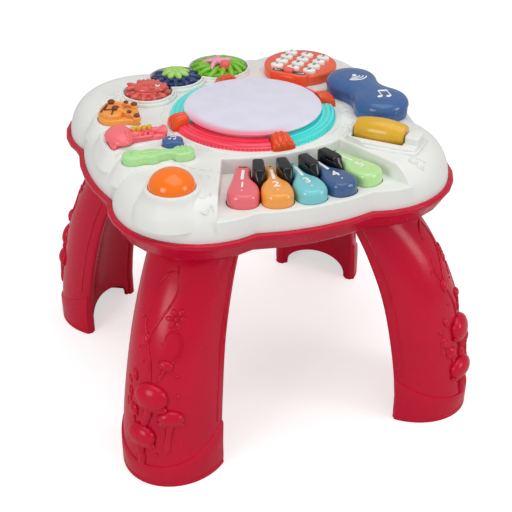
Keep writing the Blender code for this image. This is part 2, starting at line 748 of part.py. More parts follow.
def black_outline(angle, nose_share, narrow=0.0, margin=0.0):
    """Plan outline of a black key: it fills the gap between two necks."""
    shares = [s for s, width in KEY_SHARES[:3]] + [nose_share]
    right = [(KEY_BACK + KEY_LENGTH * s, black_half(KEY_BACK + KEY_LENGTH * s) - narrow) for s in shares]
    flat = [(along, -half) for along, half in right] + list(reversed(right))
    points = fan_points(flat, angle)
    return offset(points, margin) if margin else points


def black_angles():
    return [(key_angle(k) + key_angle(k + 1)) / 2 for k in range(KEY_COUNT - 1)]


def make_black_keys():
    """Four black blocks on one bar, with the sockets for the keys' pins."""
    top = SHELF_HEIGHT - SHELF_WALL - GAP
    low = top - BLACK_BAR_HEIGHT
    bar_front = KEY_BACK - GAP - RUNNING_GAP
    bar_back = bar_front - BLACK_BAR_DEPTH
    along = KEY_BACK + HINGE_SETBACK
    near = KEY_HALF_WIDTH * KEY_STRAIGHT_SHARES[0][1] + BLACK_CLEARANCE
    edge = key_angle(KEY_COUNT - 1) + math.atan2(near + BLACK_EAR, along)
    arc = [edge - 2 * edge * k / BLACK_BAR_STEPS for k in range(BLACK_BAR_STEPS + 1)]
    ring = [turned([(0.0, -bar_back)], a)[0] for a in arc]
    ring += [turned([(0.0, -bar_front)], a)[0] for a in reversed(arc)]
    bar = prism("black_keys", ring, low, top, "black")
    for k, angle in enumerate(black_angles()):
        wide = black_outline(angle, BLACK_NOSE_SHARE)
        crown = black_outline(angle, BLACK_CROWN_SHARE, BLACK_EDGE * 0.5)
        small = black_outline(angle, BLACK_CROWN_SHARE - BLACK_EDGE / KEY_LENGTH, BLACK_EDGE)
        rings = [at_height(wide, low), at_height(wide, BLACK_WAIST_HEIGHT),
                 at_height(crown, BLACK_TOP - BLACK_EDGE), at_height(small, BLACK_TOP)]
        join(bar, loft(f"black_block_{k + 1}", rings))
        half = black_half(KEY_BACK) * 0.9
        foot = fan_points([(bar_front - BLACK_EDGE, -half), (KEY_BACK + BLACK_EDGE, -half),
                           (KEY_BACK + BLACK_EDGE, half), (bar_front - BLACK_EDGE, half)], angle)
        join(bar, prism(f"black_foot_{k + 1}", foot, low, top))
    for side, index in ((-1, 0), (1, KEY_COUNT - 1)):
        ear = [(bar_front - BLACK_EDGE, side * near), (along + HINGE_SETBACK, side * near),
               (along + HINGE_SETBACK, side * (near + BLACK_EAR)), (bar_front - BLACK_EDGE, side * (near + BLACK_EAR))]
        join(bar, prism(f"black_ear_{index + 1}", fan_points(ear, key_angle(index)), low, top))
    for index in range(KEY_COUNT):
        ends = hinge_ends(index, HINGE_SOCKET_DEPTH)
        cut(bar, rod(f"pin_socket_{index + 1}", *ends, HINGE_PIN_RADIUS + GAP))


def gear_layout():
    """Place, number of teeth and turn of each gear, so that their teeth are in mesh."""
    blue = Vector(GEAR_BLUE_PLACE)
    teeth = GEAR_TEETH["blue"]
    layout = {"blue": (blue, teeth, GEAR_GREEN_ANGLE)}
    for name, angle in (("green", GEAR_GREEN_ANGLE), ("coral", GEAR_CORAL_ANGLE)):
        count = GEAR_TEETH[name]
        place = blue + Vector((math.cos(angle), math.sin(angle))) * GEAR_TOOTH * (teeth + count)
        phase = ((angle - GEAR_GREEN_ANGLE) * teeth / (2 * math.pi)) % 1.0
        layout[name] = (place, count, angle + math.pi + (0.5 + phase) * 2 * math.pi / count)
    return layout


def gear_outline(count):
    """Round teeth like petals on a root circle."""
    root = GEAR_TOOTH * count - GEAR_HALF_DEPTH - GEAR_BACKLASH
    points = []
    for k in range(count * GEAR_STEPS):
        share = (k / GEAR_STEPS + 0.5) % 1.0 - 0.5
        bump = max(0.0, math.cos(QUARTER * min(1.0, abs(share) * 2 / GEAR_TOOTH_SHARE)))
        radius = root + 2 * GEAR_HALF_DEPTH * bump ** GEAR_ROUND_SHARE
        a = 2 * math.pi * k / (count * GEAR_STEPS)
        points.append((radius * math.cos(a), radius * math.sin(a)))
    return points


def make_gears():
    low = DECK_HEIGHT + GEAR_LIFT
    for name, (place, count, turn) in gear_layout().items():
        outline = turned(gear_outline(count), turn, place)
        gear = prism(f"gear_{name}", outline, low, low + GEAR_RIM_HEIGHT, f"gear_{name}", GEAR_EDGE, 1)
        hub = GEAR_TOOTH * count * GEAR_HUB_SHARE
        join(gear, disc(f"gear_{name}_hub", hub, low + GEAR_EDGE, low + GEAR_HUB_HEIGHT, place, steps=SMALL_STEPS * 2))
        cut(gear, disc(f"gear_{name}_bore", POST_RADIUS + GAP, low - OVERRUN, low + GEAR_HUB_HEIGHT + OVERRUN,
                       place, steps=SMALL_STEPS))
        set_origin(gear, (place.x, place.y, low))


def petal_outline(petals, radius, waist_share, steps=4):
    points = []
    for k in range(petals * steps):
        wave = 0.5 + 0.5 * math.cos(2 * math.pi * k / steps)
        reach = radius * (waist_share + (1 - waist_share) * wave)
        a = 2 * math.pi * k / (petals * steps)
        points.append((reach * math.cos(a), reach * math.sin(a)))
    return points


def make_gear_caps():
    """The flower caps and the little animal that ride on the gears' hubs."""
    layout = gear_layout()
    low = DECK_HEIGHT + GEAR_LIFT + GEAR_HUB_HEIGHT + GAP
    caps = (("star_cap", "green", STAR_RADIUS, STAR_HEIGHT, 5, 0.42, STAR_KNOB_RADIUS, STAR_KNOB_HEIGHT,
             "petal_pink"),
            ("flower_cap", "blue", FLOWER_RADIUS, FLOWER_HEIGHT, 8, 0.78, FLOWER_KNOB_RADIUS,
             FLOWER_KNOB_HEIGHT, "petal_green"))
    for name, owner, radius, height, petals, waist, knob, knob_height, colour in caps:
        place = layout[owner][0]
        outline = turned(petal_outline(petals, radius, waist), 0.0, place)
        cap = prism(name, outline, low, low + height, colour, CAP_EDGE, 1)
        join(cap, disc(f"{name}_knob", knob, low + height / 2, low + knob_height, place, steps=SMALL_STEPS,
                       edge=CAP_EDGE))
        set_origin(cap, (place.x, place.y, low))
    place = layout["coral"][0]
    bm = bmesh.new()
    bmesh.ops.create_uvsphere(bm, u_segments=SMALL_STEPS + 4, v_segments=8, radius=1.0)
    bmesh.ops.scale(bm, verts=bm.verts, vec=(ANIMAL_HALF_LENGTH, ANIMAL_HALF_WIDTH, ANIMAL_HEIGHT))
    ends = bmesh.ops.bisect_plane(bm, geom=bm.verts[:] + bm.edges[:] + bm.faces[:], plane_co=(0.0, 0.0, 0.0),
                                  plane_no=(0.0, 0.0, -1.0), clear_outer=True, dist=MERGE_DISTANCE)
    rim = [e for e in ends["geom_cut"] if isinstance(e, bmesh.types.BMEdge)]
    bmesh.ops.edgeloop_fill(bm, edges=rim)
    animal = mesh_object("animal_cap", bm, "gear_coral")
    animal.location = (place.x, place.y, low)


def button_outline(name, margin=0.0):
    spec = BUTTONS[name]
    flat = [(x * spec["half"][0], y * spec["half"][1]) for x, y in spec["shares"]]
    if margin:
        flat = offset(flat, margin)
    return turned(flat, spec["turn"], spec["place"])


def button_point(name, x_share, y_share):
    spec = BUTTONS[name]
    return turned([(spec["half"][0] * x_share, spec["half"][1] * y_share)], spec["turn"], spec["place"])[0]


def pocket_floor():
    return DECK_HEIGHT + PLATFORM_LIFT - POCKET_DROP


def make_picture_buttons():
    for name, spec in BUTTONS.items():
        low = pocket_floor() + BUTTON_TRAVEL + GAP
        top = DECK_HEIGHT + spec["stand"]
        button = prism(name, button_outline(name), low, top, spec["colour"], BUTTON_EDGE, 1)
        place = button_point(name, *spec["plunger_share"])
        under = pocket_floor() - POCKET_WALL - GAP
        foot_low = under - PLUNGER_FLANGE_THICK
        join(button, disc(f"{name}_stem", PLUNGER_RADIUS, foot_low, low + BUTTON_EDGE, place, steps=SMALL_STEPS))
        join(button, disc(f"{name}_foot", PLUNGER_RADIUS + PLUNGER_FLANGE, foot_low, under, place,
                          steps=SMALL_STEPS))
        if name == "trumpet_button":
            for k, share in enumerate(VALVE_SHARES):
                valve = button_point(name, share, 0.0)
                join(button, disc(f"valve_{k + 1}", VALVE_RADIUS, top - BUTTON_EDGE, top + VALVE_STAND, valve,
                                  steps=SMALL_STEPS))
        set_origin(button, (place[0], place[1], low))


def make_dome_button():
    place = polar(DOME_REACH, CORNER_ANGLES["front_left"])
    foot = BEZEL_TOP - DOME_DEPTH
    shelf = BEZEL_TOP - BEZEL_DEPTH - GAP
    bore = DOME_RADIUS - DOME_WALL
    outer, inner = [(0.0, BEZEL_TOP + DOME_HEIGHT)], [(0.0, BEZEL_TOP + DOME_HEIGHT - DOME_WALL)]
    for k in range(1, DOME_STEPS + 1):
        a = QUARTER * (1 - k / DOME_STEPS)
        outer.append((DOME_RADIUS * math.cos(a), BEZEL_TOP + DOME_HEIGHT * math.sin(a)))
        inner.append((bore * math.cos(a), BEZEL_TOP + (DOME_HEIGHT - DOME_WALL) * math.sin(a)))
    flange = DOME_RADIUS + DOME_FLANGE
    profile = outer + [(DOME_RADIUS, shelf), (flange, shelf), (flange, foot), (bore, foot)] + inner[::-1]
    turned_piece("dome_button", profile, "dome_orange", 24, (place[0], place[1], 0.0))


def make_drum():
    top = DRUM_EDGE_HEIGHT
    under = top - DRUM_EDGE
    flange_top = DECK_HEIGHT - COVER_WALL - GAP
    flange_low = flange_top - DRUM_FLANGE_THICK
    flange = DRUM_SKIRT_RADIUS + DRUM_FLANGE
    bore = DRUM_SKIRT_RADIUS - DRUM_WALL
    profile = [(0.0, top + DRUM_CROWN), (DRUM_RADIUS * 0.5, top + DRUM_CROWN * 0.82),
               (DRUM_RADIUS * 0.95, top), (DRUM_RADIUS, top - DRUM_EDGE * 0.5), (DRUM_RADIUS * 0.985, under),
               (DRUM_SKIRT_RADIUS, under), (DRUM_SKIRT_RADIUS, flange_top), (flange, flange_top),
               (flange, flange_low), (bore, flange_low), (bore, under), (0.0, under)]
    turned_piece("drum_pad", profile, "lavender")


def make_ring():
    low = DECK_HEIGHT + GAP
    start = CLIP_SPAN / 2 + CLIP_CLEARANCE_ANGLE
    names = (("light_ring_back_right", "ring_red"), ("light_ring_back_left", "ring_teal"),
             ("light_ring_front_left", "ring_red"), ("light_ring_front_right", "ring_teal"))
    for k, (name, colour) in enumerate(names):
        spun_piece(name, RING_SHARES, RING_INNER, RING_OUTER, low, RING_TOP, QUARTER * k + start,
                   QUARTER - 2 * start, RING_STEPS, colour)
    for k, side in enumerate(("right", "back", "left", "front")):
        spun_piece(f"ring_clip_{side}", CLIP_SHARES, CLIP_INNER, CLIP_OUTER, low, CLIP_TOP,
                   QUARTER * k - CLIP_SPAN / 2, CLIP_SPAN, 3, "clip_orange")


KEYPAD_TURN = CORNER_ANGLES["back_right"] - QUARTER


def keypad_points(points):
    """Points beside the keypad's middle: along its rows, and away from the drum."""
    return turned(points, KEYPAD_TURN, polar(KEYPAD_REACH, CORNER_ANGLES["back_right"]))


def number_places():
    places = []
    for row in range(NUMBER_ROWS):
        for column in (-1, 0, 1):
            y = ((NUMBER_ROWS - 1) / 2 - row) * NUMBER_ROW_PITCH - NUMBER_SETBACK
            places.append((column * NUMBER_COLUMN_PITCH, y))
    return keypad_points(places)


def make_keypad():
    low = DECK_HEIGHT + GAP
    roof = KEYPAD_TOP - KEYPAD_WALL
    centre = keypad_points([(0.0, 0.0)])[0]
    bar_place = keypad_points([(0.0, -BAR_SETBACK)])[0]
    plate = disc("keypad_plate", KEYPAD_RADIUS, low, KEYPAD_TOP, centre, "keypad_orange", edge=KEYPAD_EDGE)
    outline = [(x, y - BAR_SETBACK) for x, y in rounded(BAR_HALF_LENGTH, BAR_HALF_WIDTH, BAR_ROUND)]
    join(plate, prism("switch_bar", keypad_points(outline), low, BAR_TOP, None, KEYPAD_EDGE, 1))
    cut(plate, disc("keypad_hollow", KEYPAD_RADIUS - KEYPAD_WALL, low - OVERRUN, roof, centre))
    cut(plate, box("switch_hollow", BAR_HALF_LENGTH - 2 * KEYPAD_WALL, BAR_HALF_WIDTH - KEYPAD_WALL,
                   low - OVERRUN, BAR_TOP - KEYPAD_WALL, bar_place, KEYPAD_TURN))
    slot_half = KNOB_TRAVEL / 2 + KNOB_HALF_LENGTH / 2 + RUNNING_GAP
    cut(plate, box("switch_slot", slot_half, KNOB_NECK + GAP, roof - OVERRUN, BAR_TOP + OVERRUN, bar_place,
                   KEYPAD_TURN))
    top = KEYPAD_TOP + NUMBER_STAND
    under = roof - GAP
    labels = ("1", "2", "3", "4", "5", "6", "7", "8", "9", "star", "0", "hash")
    for label, place in zip(labels, number_places()):
        cut(plate, oval(f"number_hole_{label}", NUMBER_HALF_LENGTH + GAP, NUMBER_HALF_WIDTH + GAP,
                        roof - OVERRUN, KEYPAD_TOP + OVERRUN, place, KEYPAD_TURN))
        name = f"number_button_{label}"
        button = oval(name, NUMBER_HALF_LENGTH, NUMBER_HALF_WIDTH, under - NUMBER_FLANGE_THICK, top, place,
                      KEYPAD_TURN, "number_white", NUMBER_EDGE)
        join(button, oval(f"{name}_foot", NUMBER_HALF_LENGTH + NUMBER_FLANGE, NUMBER_HALF_WIDTH + NUMBER_FLANGE,
                          under - NUMBER_FLANGE_THICK, under, place, KEYPAD_TURN))
        set_origin(button, (place[0], place[1], under))
    foot_top = BAR_TOP - KEYPAD_WALL - GAP
    knob = box("switch_knob", KNOB_HALF_LENGTH, KNOB_HALF_WIDTH, BAR_TOP + GAP, BAR_TOP + KNOB_STAND, bar_place,
               KEYPAD_TURN, "knob_pink")
    join(knob, box("knob_neck", KNOB_HALF_LENGTH / 2, KNOB_NECK, foot_top - KNOB_FOOT_THICK,
                   BAR_TOP + KNOB_STAND / 2, bar_place, KEYPAD_TURN))
    join(knob, box("knob_foot", KNOB_HALF_LENGTH / 2, KNOB_NECK + KNOB_FOOT, foot_top - KNOB_FOOT_THICK,
                   foot_top, bar_place, KEYPAD_TURN))
    set_origin(knob, (bar_place[0], bar_place[1], BAR_TOP))


def handset_outline(margin=0.0):
    """Two round lobes joined by a waist, in plan."""
    back, front = Vector(HANDSET_BACK_PLACE), Vector(HANDSET_FRONT_PLACE)
    along = (front - back).normalized()
    side = Vector((along.y, -along.x))
    outline = []
    lobes = ((front, HANDSET_FRONT_RADIUS, 1, back, HANDSET_BACK_RADIUS),
             (back, HANDSET_BACK_RADIUS, -1, front, HANDSET_FRONT_RADIUS))
    for centre, radius, facing, other, other_radius in lobes:
        for k in range(HANDSET_STEPS + 1):
            a = HANDSET_TURN * (1 - 2 * k / HANDSET_STEPS)
            outline.append(centre + (side * math.sin(a) + along * math.cos(a)) * radius * facing)
        start = centre + along * math.cos(HANDSET_TURN) * radius * facing
        stop = other - along * math.cos(HANDSET_TURN) * other_radius * facing
        for k in range(1, HANDSET_WAIST_STEPS):
            share = k / HANDSET_WAIST_STEPS
            line = math.sin(HANDSET_TURN) * (radius + (other_radius - radius) * share)
            dip = (line - HANDSET_WAIST_HALF) * math.sin(math.pi * share)
            outline.append(start + (stop - start) * share - side * facing * (line - dip))
    points = [(p.x, p.y) for p in outline]
    return offset(points, margin) if margin else points


def handset_middle():
    return (Vector(HANDSET_BACK_PLACE) + Vector(HANDSET_FRONT_PLACE)) / 2


def make_handset():
    low = DECK_HEIGHT + GAP
    seam = low + HANDSET_SEAM
    top = low + HANDSET_HEIGHT
    middle = handset_middle()
    floor = low + CRADLE_HEIGHT + GAP + HANDSET_WALL
    inner = handset_outline(-HANDSET_WALL)
    base = prism("handset_base", handset_outline(), low, seam - GAP, "handset_blue")
    cut(base, prism("handset_base_hollow", inner, floor, seam + OVERRUN))
    cut(base, box("cradle_notch", CRADLE_HALF_WIDTH + GAP, CRADLE_HALF_LENGTH + GAP, low - OVERRUN,
                  low + CRADLE_HEIGHT, middle))
    set_origin(base, (middle.x, middle.y, low))
    cover = prism("handset_cover", handset_outline(), seam, top, "handset_blue", HANDSET_EDGE, 3)
    shrunk = handset_outline(-HANDSET_WALL - HANDSET_EDGE / 2)
    cut(cover, prism("handset_cover_hollow", shrunk, seam - OVERRUN, top - HANDSET_WALL))
    set_origin(cover, (middle.x, middle.y, low))


def roller_points(points):
    """Points beside the roller's middle: along its axle, and across it."""
    angle = CORNER_ANGLES["front_right"]
    return turned(points, angle, polar(ROLLER_REACH, CORNER_ANGLES["front_right"]))


def make_roller():
    bore = AXLE_RADIUS + GAP
    profile = []
    for k in range(ROLLER_STEPS + 1):
        share = 1 - 2 * k / ROLLER_STEPS
        radius = ROLLER_END_RADIUS + (ROLLER_MID_RADIUS - ROLLER_END_RADIUS) * (1 - share ** 2)
        profile.append((radius, ROLLER_HALF_LENGTH * share))
    profile += [(bore, -ROLLER_HALF_LENGTH), (bore, ROLLER_HALF_LENGTH)]
    place = polar(ROLLER_REACH, CORNER_ANGLES["front_right"]) + (ROLLER_HEIGHT,)
    roller = turned_piece("roller", profile, "roller_yellow", 24, place, "X", True)
    roller.rotation_euler.z = CORNER_ANGLES["front_right"]
    reach = ROLLER_HALF_LENGTH + FRAME_INNER_END
    ends = [p + (ROLLER_HEIGHT,) for p in roller_points([(-reach, 0.0), (reach, 0.0)])]
    rod("roller_axle", ends[0], ends[1], AXLE_RADIUS, "metal")


def make_cover():
    cover = cover_solid("top_cover", 0.0, "cream")
    far = DECK_HEIGHT + 10 * OVERRUN
    hollow = cover_solid("cover_hollow", COVER_WALL)

    # Upright front wall under the keyboard, from the rim to the shelf
    front = prism("front_wall", lobed_outline(-GAP), RIM_HEIGHT, SHELF_HEIGHT + GAP)
    boolean(front, prism("front_bounds", recess_outline(GAP), RIM_HEIGHT - OVERRUN, far), "INTERSECT")
    join(cover, front)
    inside = prism("front_hollow", lobed_outline(-GAP - COVER_WALL), RIM_HEIGHT, SHELF_HEIGHT - SHELF_WALL)
    bounds = prism("inside_bounds", recess_outline(-COVER_WALL), RIM_HEIGHT - OVERRUN, far)
    boolean(inside, bounds, "INTERSECT")
    join(hollow, inside)

    # Raised platforms with pockets for the picture buttons
    pockets = []
    for name, spec in BUTTONS.items():
        platform = button_outline(name, PLATFORM_MARGIN)
        join(cover, prism(f"{name}_platform", platform, SHELF_HEIGHT, DECK_HEIGHT + PLATFORM_LIFT))
        cut(hollow, prism(f"{name}_block", platform, pocket_floor() - POCKET_WALL, far))
        pockets.append(prism(f"{name}_pocket", button_outline(name, RUNNING_GAP), pocket_floor(), far))
        pockets.append(disc(f"{name}_hole", PLUNGER_RADIUS + RUNNING_GAP, SHELF_HEIGHT, far,
                            button_point(name, *spec["plunger_share"]), steps=SMALL_STEPS))

    # Raised bezel of the dome button
    dome = polar(DOME_REACH, CORNER_ANGLES["front_left"])
    bezel = BEZEL_TOP - BEZEL_DEPTH
    join(cover, disc("bezel", DOME_RADIUS + BEZEL_WIDTH, bezel, BEZEL_TOP, dome))
    cut(hollow, disc("bezel_block", DOME_RADIUS + BEZEL_WIDTH, bezel, far, dome))
    pockets.append(disc("bezel_bore", DOME_RADIUS + RUNNING_GAP, RIM_HEIGHT, far, dome))

    # Cup round the gears
    for name, (place, count, turn) in gear_layout().items():
        radius = GEAR_TOOTH * count + GEAR_HALF_DEPTH - GEAR_BACKLASH + CUP_CLEARANCE
        join(cover, disc(f"cup_wall_{name}", radius + CUP_WALL, SHELF_HEIGHT, DECK_HEIGHT + CUP_HEIGHT, place))
        pockets.append(disc(f"cup_floor_{name}", radius, DECK_HEIGHT, far, place))

    # Frame, end blocks and well of the roller
    reach = ROLLER_HALF_LENGTH
    end_half = FRAME_HALF_WIDTH * FRAME_END_SHARE
    frame = [(-reach - FRAME_INNER_END, -FRAME_HALF_WIDTH), (reach + FRAME_OUTER_END, -end_half),
             (reach + FRAME_OUTER_END, end_half), (-reach - FRAME_INNER_END, FRAME_HALF_WIDTH)]
    join(cover, prism("roller_rim", roller_points(frame), SHELF_HEIGHT, DECK_HEIGHT + FRAME_HEIGHT))
    angle = CORNER_ANGLES["front_right"]
    for side, end in ((-1, FRAME_INNER_END), (1, FRAME_OUTER_END)):
        long = (end - WELL_MARGIN) / 2
        middle = roller_points([(side * (reach + WELL_MARGIN + long), 0.0)])[0]
        join(cover, box(f"end_block_{end}", long, END_BLOCK_HALF, SHELF_HEIGHT, END_BLOCK_TOP, middle, angle))
    well_low = ROLLER_HEIGHT - ROLLER_MID_RADIUS - WELL_MARGIN
    well_half = ROLLER_MID_RADIUS + WELL_MARGIN
    middle = roller_points([(0.0, 0.0)])[0]
    long = reach + FRAME_INNER_END + COVER_WALL
    cut(hollow, box("well_block", long, well_half + COVER_WALL, well_low - COVER_WALL, far, middle, angle))
    pockets.append(box("roller_well", reach + WELL_MARGIN, well_half, well_low, far, middle, angle))
    long = reach + FRAME_INNER_END + GAP
    ends = [p + (ROLLER_HEIGHT,) for p in roller_points([(-long, 0.0), (long, 0.0)])]
    pockets.append(rod("axle_bore", ends[0], ends[1], AXLE_RADIUS + GAP))

    # Shelf of the keyboard, with a window for each key
    cut(hollow, prism("shelf_block", recess_outline(COVER_WALL), SHELF_HEIGHT - SHELF_WALL, far))
    pockets.append(prism("key_recess", recess_outline(), SHELF_HEIGHT, far))
    window_low = SHELF_HEIGHT - SHELF_WALL - OVERRUN
    for k in range(KEY_COUNT):
        pockets.append(prism(f"key_window_{k + 1}", key_outline(k, KEY_WINDOW_GAP), window_low, far))
    for k, black in enumerate(black_angles()):
        outline = black_outline(black, BLACK_WINDOW_SHARE, 0.0, BLACK_WINDOW_GAP + BLACK_CLEARANCE)
        pockets.append(prism(f"black_window_{k + 1}", outline, window_low, far))

    pockets.append(disc("drum_hole", DRUM_SKIRT_RADIUS + RUNNING_GAP, SHELF_HEIGHT, far))
    cut(cover, hollow, *pockets)

    # Posts for the gears and the housing screws, and the cradle under the handset
    for name, (place, count, turn) in gear_layout().items():
        join(cover, disc(f"post_{name}", POST_RADIUS, DECK_HEIGHT - COVER_WALL, DECK_HEIGHT + POST_HEIGHT, place,
                         steps=SMALL_STEPS))
    join(cover, box("cradle", CRADLE_HALF_WIDTH, CRADLE_HALF_LENGTH, DECK_HEIGHT - COVER_WALL,
                    DECK_HEIGHT + CRADLE_HEIGHT, handset_middle()))
    seat = TRAY_BOTTOM + SCREW_BOSS_HEIGHT + GAP
    for name, angle in SCREW_ANGLES.items():
        place = polar(SCREW_REACH, angle)
        join(cover, disc(f"{name}_post", SCREW_BOSS_RADIUS, seat, DECK_HEIGHT - COVER_WALL / 2, place,
                         steps=SMALL_STEPS))
        cut(cover, disc(f"{name}_pilot", SCREW_SHANK_RADIUS + GAP, seat - OVERRUN, seat + SCREW_BITE + GAP, place,
                        steps=SMALL_STEPS))


def bay_half():
    """Half length and half width of the battery bay."""
    return (BATTERY_LENGTH / 2 + BATTERY_NUB + BAY_MARGIN,
            BATTERY_PITCH * (BATTERY_COUNT - 1) / 2 + BATTERY_RADIUS + BAY_MARGIN)


def board_posts():
    return [(sx * BOARD_HALF[0] * BOARD_POST_SHARE, sy * BOARD_HALF[1] * BOARD_POST_SHARE + BOARD_PLACE_Y)
            for sx in (-1, 1) for sy in (-1, 1)]


def make_tray():
    top = RIM_HEIGHT
    ledge = RIM_HEIGHT - COVER_LAP - GAP
    floor = TRAY_BOTTOM + TRAY_WALL
    rings = [at_height(lobed_outline(out), z) for out, z in (
        (RIM_OUT - RIM_ROUND, top), (RIM_OUT, top - RIM_ROUND), (RIM_OUT, top - RIM_LIP_DEPTH),
        (RIM_STEP_OUT, top - RIM_LIP_DEPTH - RIM_ROUND), (RIM_LEDGE_OUT, top - RIM_STEP_DEPTH),
        (-SKIRT_IN, TRAY_BOTTOM + SKIRT_ROUND), (-SKIRT_IN - SKIRT_ROUND, TRAY_BOTTOM))]
    tray = loft("lower_tray", rings, "crimson")
    rings = [at_height(lobed_outline(out), z) for out, z in (
        (GAP, top + OVERRUN), (GAP, ledge), (-COVER_WALL + GAP, ledge), (-SKIRT_IN - TRAY_WALL, floor + SKIRT_ROUND),
        (-SKIRT_IN - SKIRT_ROUND - TRAY_WALL, floor))]
    cut(tray, loft("tray_hollow", rings))
    low = TRAY_BOTTOM - OVERRUN

    # Sockets for the legs' spigots
    socket_top = TRAY_BOTTOM + SPIGOT_LENGTH + GAP
    for corner, angle in CORNER_ANGLES.items():
        wall = turned(spigot_outline(GAP + SOCKET_WALL), angle)
        join(tray, prism(f"socket_wall_{corner}", wall, TRAY_BOTTOM, socket_top + SOCKET_WALL))
        hollow = turned(spigot_outline(GAP), angle)
        cut(tray, prism(f"socket_{corner}", hollow, low, socket_top))

    # Battery bay with a rebate for its door
    half_x, half_y = bay_half()
    centre = (0.0, BATTERY_PLACE_Y)
    bay_low = TRAY_BOTTOM + DOOR_THICK + GAP
    bay_top = bay_low + 2 * (BATTERY_RADIUS + GAP)
    ledge = half_x + DOOR_LEDGE
    join(tray, box("bay_block", ledge + BAY_WALL, half_y + BAY_WALL, TRAY_BOTTOM, bay_top + BAY_WALL, centre))
    cut(tray, box("bay", half_x, half_y, low, bay_top, centre))
    cut(tray, box("door_rebate", ledge + GAP, half_y + GAP, low, bay_low, centre))
    cut(tray, disc("door_pilot", SCREW_SHANK_RADIUS + GAP, low, bay_low + DOOR_SCREW_BITE + GAP,
                   (half_x + DOOR_LEDGE / 2, BATTERY_PLACE_Y), steps=SMALL_STEPS))

    # Bosses for the housing screws, and posts for the circuit board
    seat = TRAY_BOTTOM + SCREW_SEAT
    for name, angle in SCREW_ANGLES.items():
        place = polar(SCREW_REACH, angle)
        join(tray, disc(f"{name}_boss", SCREW_BOSS_RADIUS, TRAY_BOTTOM, TRAY_BOTTOM + SCREW_BOSS_HEIGHT, place,
                        steps=SMALL_STEPS))
        cut(tray, disc(f"{name}_seat", SCREW_HEAD_RADIUS + GAP, low, seat, place, steps=SMALL_STEPS))
        cut(tray, disc(f"{name}_hole", SCREW_SHANK_RADIUS + GAP, low, seat + SCREW_BOSS_HEIGHT, place,
                       steps=SMALL_STEPS))
    for k, place in enumerate(board_posts()):
        join(tray, disc(f"board_post_{k + 1}", BOARD_POST_RADIUS, TRAY_BOTTOM + TRAY_WALL / 2, BOARD_HEIGHT - GAP,
                        place, steps=8))

    # Sound holes under the speaker
    for k in range(GRILLE_COUNT + 1):
        x, y = polar(GRILLE_PITCH if k else 0.0, math.tau * k / GRILLE_COUNT)
        cut(tray, disc(f"sound_hole_{k}", GRILLE_HOLE, low, floor + OVERRUN, (x, y + SPEAKER_PLACE_Y), steps=8))


def leg_section(reach, half, depth, cuff=0.0):
    """Round outside, dished inner face, with a rounded toe at each end."""
    points = []
    for k in range(LEG_OUTER_STEPS + 1):
        a = -QUARTER + math.pi * k / LEG_OUTER_STEPS
        points.append((reach + (depth + cuff) * math.cos(a), (half + cuff) * math.sin(a)))
    toe = half - TOE_WIDTH
    points.append((reach - TOE_ROUND, half - TOE_ROUND))
    points.append((reach - TOE_ROUND, toe + TOE_ROUND))
    for k in range(LEG_INNER_STEPS + 1):
        share = 1 - 2 * k / LEG_INNER_STEPS
        points.append((reach + LEG_DISH * (1 - share ** 2), toe * share))
    points.append((reach - TOE_ROUND, -toe - TOE_ROUND))
    points.append((reach - TOE_ROUND, -half + TOE_ROUND))
    return points


def cuff_height(index):
    """Wavy upper edge of the cuff: high at both toes and low in the middle."""
    share = abs(2 * index / LEG_OUTER_STEPS - 1) if index <= LEG_OUTER_STEPS else 1.0
    return CUFF_LOW + (CUFF_HIGH - CUFF_LOW) * share ** 2


def leg_rings(inset=0.0):
    """Sections of a leg from the ground to the tray, moved in by a wall."""
    cuffed = leg_section(*LEG_FOOT, CUFF_OUT)
    plain = leg_section(*LEG_FOOT)
    if inset:
        cuffed, plain = offset(cuffed, -inset), offset(plain, -inset)
    heights = [cuff_height(k) for k in range(len(plain))]
    rings = [at_height(cuffed, -OVERRUN if inset else 0.0),
             [(x, y, z) for (x, y), z in zip(cuffed, heights)],
             [(x, y, z + CUFF_STEP) for (x, y), z in zip(plain, heights)]]
    levels = list(zip(LEG_LEVEL_SHARES, LEG_LEVELS)) + [(1.0, LEG_TOP)]
    for share, (reach, half, depth) in levels:
        section = leg_section(reach, half, depth)
        if inset:
            section = offset(section, -inset)
        rings.append(at_height(section, LEG_SPAN * share - (inset if share == 1.0 else 0.0)))
    return rings


def spigot_outline(margin=0.0):
    points = []
    for k in range(SPIGOT_STEPS + 1):
        a = -QUARTER + math.pi * k / SPIGOT_STEPS
        points.append((LEG_TOP[0] + SPIGOT_DEPTH * math.cos(a), SPIGOT_HALF * math.sin(a)))
    return offset(points, margin) if margin else points


def make_legs():
    leg = loft("leg", leg_rings(), "crimson")
    cut(leg, loft("leg_hollow", leg_rings(LEG_WALL)))
    spigot = spigot_outline()
    join(leg, prism("spigot", spigot, LEG_SPAN - LEG_WALL / 2, LEG_SPAN + SPIGOT_LENGTH))
    cut(leg, prism("spigot_bore", spigot_outline(-SPIGOT_WALL), LEG_SPAN, LEG_SPAN + SPIGOT_LENGTH + OVERRUN))

    # Arch in the inner face
    arch = []
    for k in range(ARCH_STEPS + 1):
        a = math.pi * k / ARCH_STEPS
        arch.append((ARCH_HALF * math.cos(a), ARCH_HEIGHT * max(0.0, math.sin(a)) ** ARCH_POWER))
    arch += [(-ARCH_HALF, -OVERRUN), (ARCH_HALF, -OVERRUN)]
    near = LEG_FOOT[0] - 2 * LEG_DISH
    far = LEG_FOOT[0] + LEG_DISH + LEG_WALL + OVERRUN
    cut(leg, loft("arch", [[(near, y, z) for y, z in arch], [(far, y, z) for y, z in arch]]))

    view = bpy.context.evaluated_depsgraph_get()
    mesh = bpy.data.meshes.new_from_object(leg.evaluated_get(view))
    bpy.data.objects.remove(leg)
    for corner, angle in CORNER_ANGLES.items():
        piece = add_object(f"leg_{corner}", mesh, "crimson")
        piece.rotation_euler.z = angle


